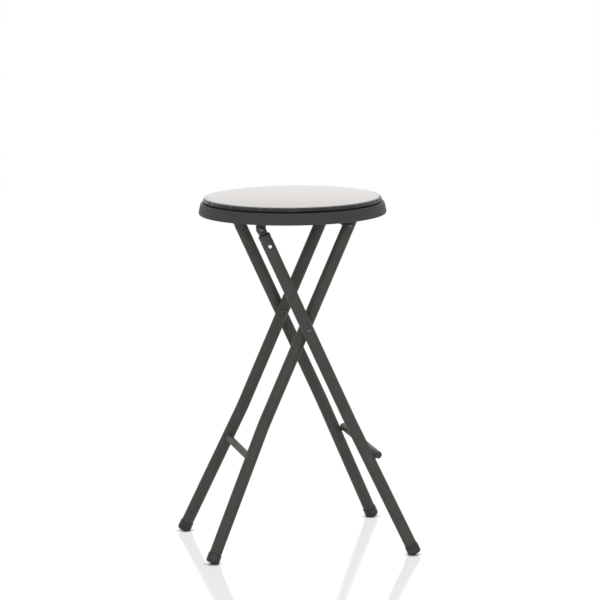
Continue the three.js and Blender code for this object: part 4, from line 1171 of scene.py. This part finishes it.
# Sets the pad's reach and crown to the cover's own, and ripples its edge a little
def fitCushion(piece, s):
    ripple = s["ripple"]
    base, foot, crown = (stance["seatHeight"] + deckTop) / 1000, s["start"] / 1000, s["crownRise"] / 1000
    vertices = piece.data.vertices
    scale = s["widest"] / 1000 / max(hypot(v.co.x, v.co.y) for v in vertices)
    top, low = max(v.co.z for v in vertices) - base, min(v.co.z for v in vertices) - base
    edgeFrom, edgeWide = [value / 1000 for value in ripple["reach"]]
    levelFrom, levelWide = ripple["level"]
    for vertex in vertices:
        x, y, z = vertex.co
        share = (z - base - low) / (top - low)
        edge = min(max((hypot(x, y) * scale - edgeFrom) / edgeWide, 0), 1)
        edge *= min(max((share - levelFrom) / levelWide, 0), 1)
        turn = atan2(y, x)
        spot = Vector((cos(turn), sin(turn), 0)) * ripple["rate"] + Vector(ripple["place"])
        wave = noise.noise(spot) * ripple["height"] / 1000 * edge
        vertex.co = (x * scale, y * scale, base + foot + share * (crown - foot) + wave)


# Draws the skin most of the way to the pad's own outline, which keeps a share of the swelling's unevenness
def drawToOutline(mesh, s):
    line = cushionLine(0, s)
    spots = []
    for (r1, z1), (r2, z2) in zip(line, line[1:]):
        steps = max(1, round(hypot(r2 - r1, z2 - z1) / s["sampling"]))
        spots += [(r1 + (r2 - r1) * i / steps, z1 + (z2 - z1) * i / steps, 0) for i in range(steps)]
    outline = kdtree.KDTree(len(spots))
    for i, spot in enumerate(spots):
        outline.insert(spot, i)
    outline.balance()
    for vertex in mesh.vertices:
        x, y, z = vertex.co
        reach, level = hypot(x, y) * 1000, z * 1000 - stance["seatHeight"]
        spot = outline.find((reach, level, 0))[0]
        share = 1 + (spot.x - reach) * s["draw"] / reach if reach > 1 else 1
        vertex.co = (x * share, y * share, z + (spot.y - level) * s["draw"] / 1000)


def buildCushion(s):
    cushion = turnedPiece("cushion", cushionLine(s["startInset"], s), seatVinylWithPaintedReflection, seatPlace, s["count"])
    swell(cushion, swellShape)
    fitCushion(cushion, s)
    even = cushion.modifiers.new("even", "CORRECTIVE_SMOOTH")
    for key, value in s["evening"].items():
        setattr(even, key, value)
    finer = cushion.modifiers.new("finer", "SUBSURF")
    finer.levels = finer.render_levels = 1
    mesh = applyModifiers(cushion)
    drawToOutline(mesh, s)
    mesh.shade_smooth()
    if not mesh.materials:
        mesh.materials.append(seatVinylWithPaintedReflection)
    settle(cushion, "seat", "seat_vinyl", "seat_cover", "seat_foam")
    return cushion


cushion = buildCushion(cushionShape)
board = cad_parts["seat_board"].data.materials
board.clear()
board.append(boardWood)
print("cushion made:", len(cushion.data.vertices), "points")


# Floor and light

studio = {
    "floor": 60.0, "floorTone": (0.88, 0.88, 0.87), "floorMatt": 0.6, "floorGloss": 0.20, "floorRough": 0.10,
    "lift": 0.93, "floorWhite": 1.04, "contactShadeReach": 0.009, "contactShadeDepth": 1.3, "contactSamples": 16,
    "ambient": 0.41, "background": 1.0, "aim": (0, 0, 0.35),
    "lamps": {
        "top": {"place": (0.0, 0.2, 2.9), "size": 2.0, "power": 9},
        "back": {"place": (0.7, 3.0, 1.9), "size": 2.2, "power": 22},
        "front": {"place": (-0.8, -3.6, 0.6), "size": 2.0, "power": 27},
        "glintLeft": {"place": (-3.65, -1.63, 1.5), "size": 0.35, "power": 7},
        "glintRight": {"place": (2.65, -3.0, 1.5), "size": 0.35, "power": 7},
    },
}
white = (1, 1, 1, 1)


def cameraRays(tree):
    rays = addNode(tree, "ShaderNodeLightPath").outputs
    seen = sumOf(tree, "MAXIMUM", rays["Is Camera Ray"], rays["Is Glossy Ray"])
    return sumOf(tree, "MAXIMUM", seen, rays["Is Transmission Ray"])


# White to the camera but for a faint mirror of the legs and a painted contact shadow: a dark line painted
# into the floor's glow where a foot meets it
def buildFloor(s):
    material, tree, shader = newMaterial("paleFloor")
    setInputs(shader, {"Base Color": (*s["floorTone"], 1), "Roughness": s["floorMatt"]})
    samples = {"samples": s["contactSamples"]}
    # Painted contact shadow: the floor's white glow is darkened where ambient occlusion finds a foot close by
    near = addNode(tree, "ShaderNodeAmbientOcclusion", samples, Distance=s["contactShadeReach"])
    glowWithContactShade = sumOf(tree, "POWER", near.outputs["AO"], s["contactShadeDepth"])
    glowWithContactShade = sumOf(tree, "MULTIPLY", glowWithContactShade, s["floorWhite"])
    glow = addNode(tree, "ShaderNodeEmission", Color=white, Strength=glowWithContactShade).outputs["Emission"]
    seen = sumOf(tree, "MULTIPLY", cameraRays(tree), s["lift"])
    lifted = mixShaders(tree, seen, shader.outputs["BSDF"], glow)
    mirror = addNode(tree, "ShaderNodeBsdfGlossy", Color=white, Roughness=s["floorRough"]).outputs["BSDF"]
    polished = mixShaders(tree, s["floorGloss"], lifted, mirror)
    setInputs(tree.nodes["Material Output"], {"Surface": polished})
    half = s["floor"] / 2
    corners = [(-half, -half, 0), (half, -half, 0), (half, half, 0), (-half, half, 0)]
    mesh = bpy.data.meshes.new("floor")
    mesh.from_pydata(corners, [], [(0, 1, 2, 3)])
    mesh.materials.append(material)
    addObject("floor", mesh)


def buildLight(s):
    world = bpy.data.worlds.new("studio")
    world.use_nodes = True
    tree = world.node_tree
    light = tree.nodes["Background"]
    setInputs(light, {"Color": white, "Strength": s["ambient"]})
    behind = addNode(tree, "ShaderNodeBackground", Color=white, Strength=s["background"])
    both = mixShaders(tree, cameraRays(tree), light.outputs["Background"], behind.outputs["Background"])
    setInputs(tree.nodes["World Output"], {"Surface": both})
    bpy.context.scene.world = world
    for name, look in s["lamps"].items():
        lamp = bpy.data.lights.new(name, "AREA")
        lamp.shape = "SQUARE"
        lamp.size, lamp.energy = look["size"], look["power"]
        body = addObject(name, lamp)
        body.location = look["place"]
        body.rotation_euler = (Vector(s["aim"]) - body.location).to_track_quat("-Z", "Y").to_euler()


buildFloor(studio)
buildLight(studio)
bpy.context.scene.view_settings.view_transform = "Standard"
print("studio made")
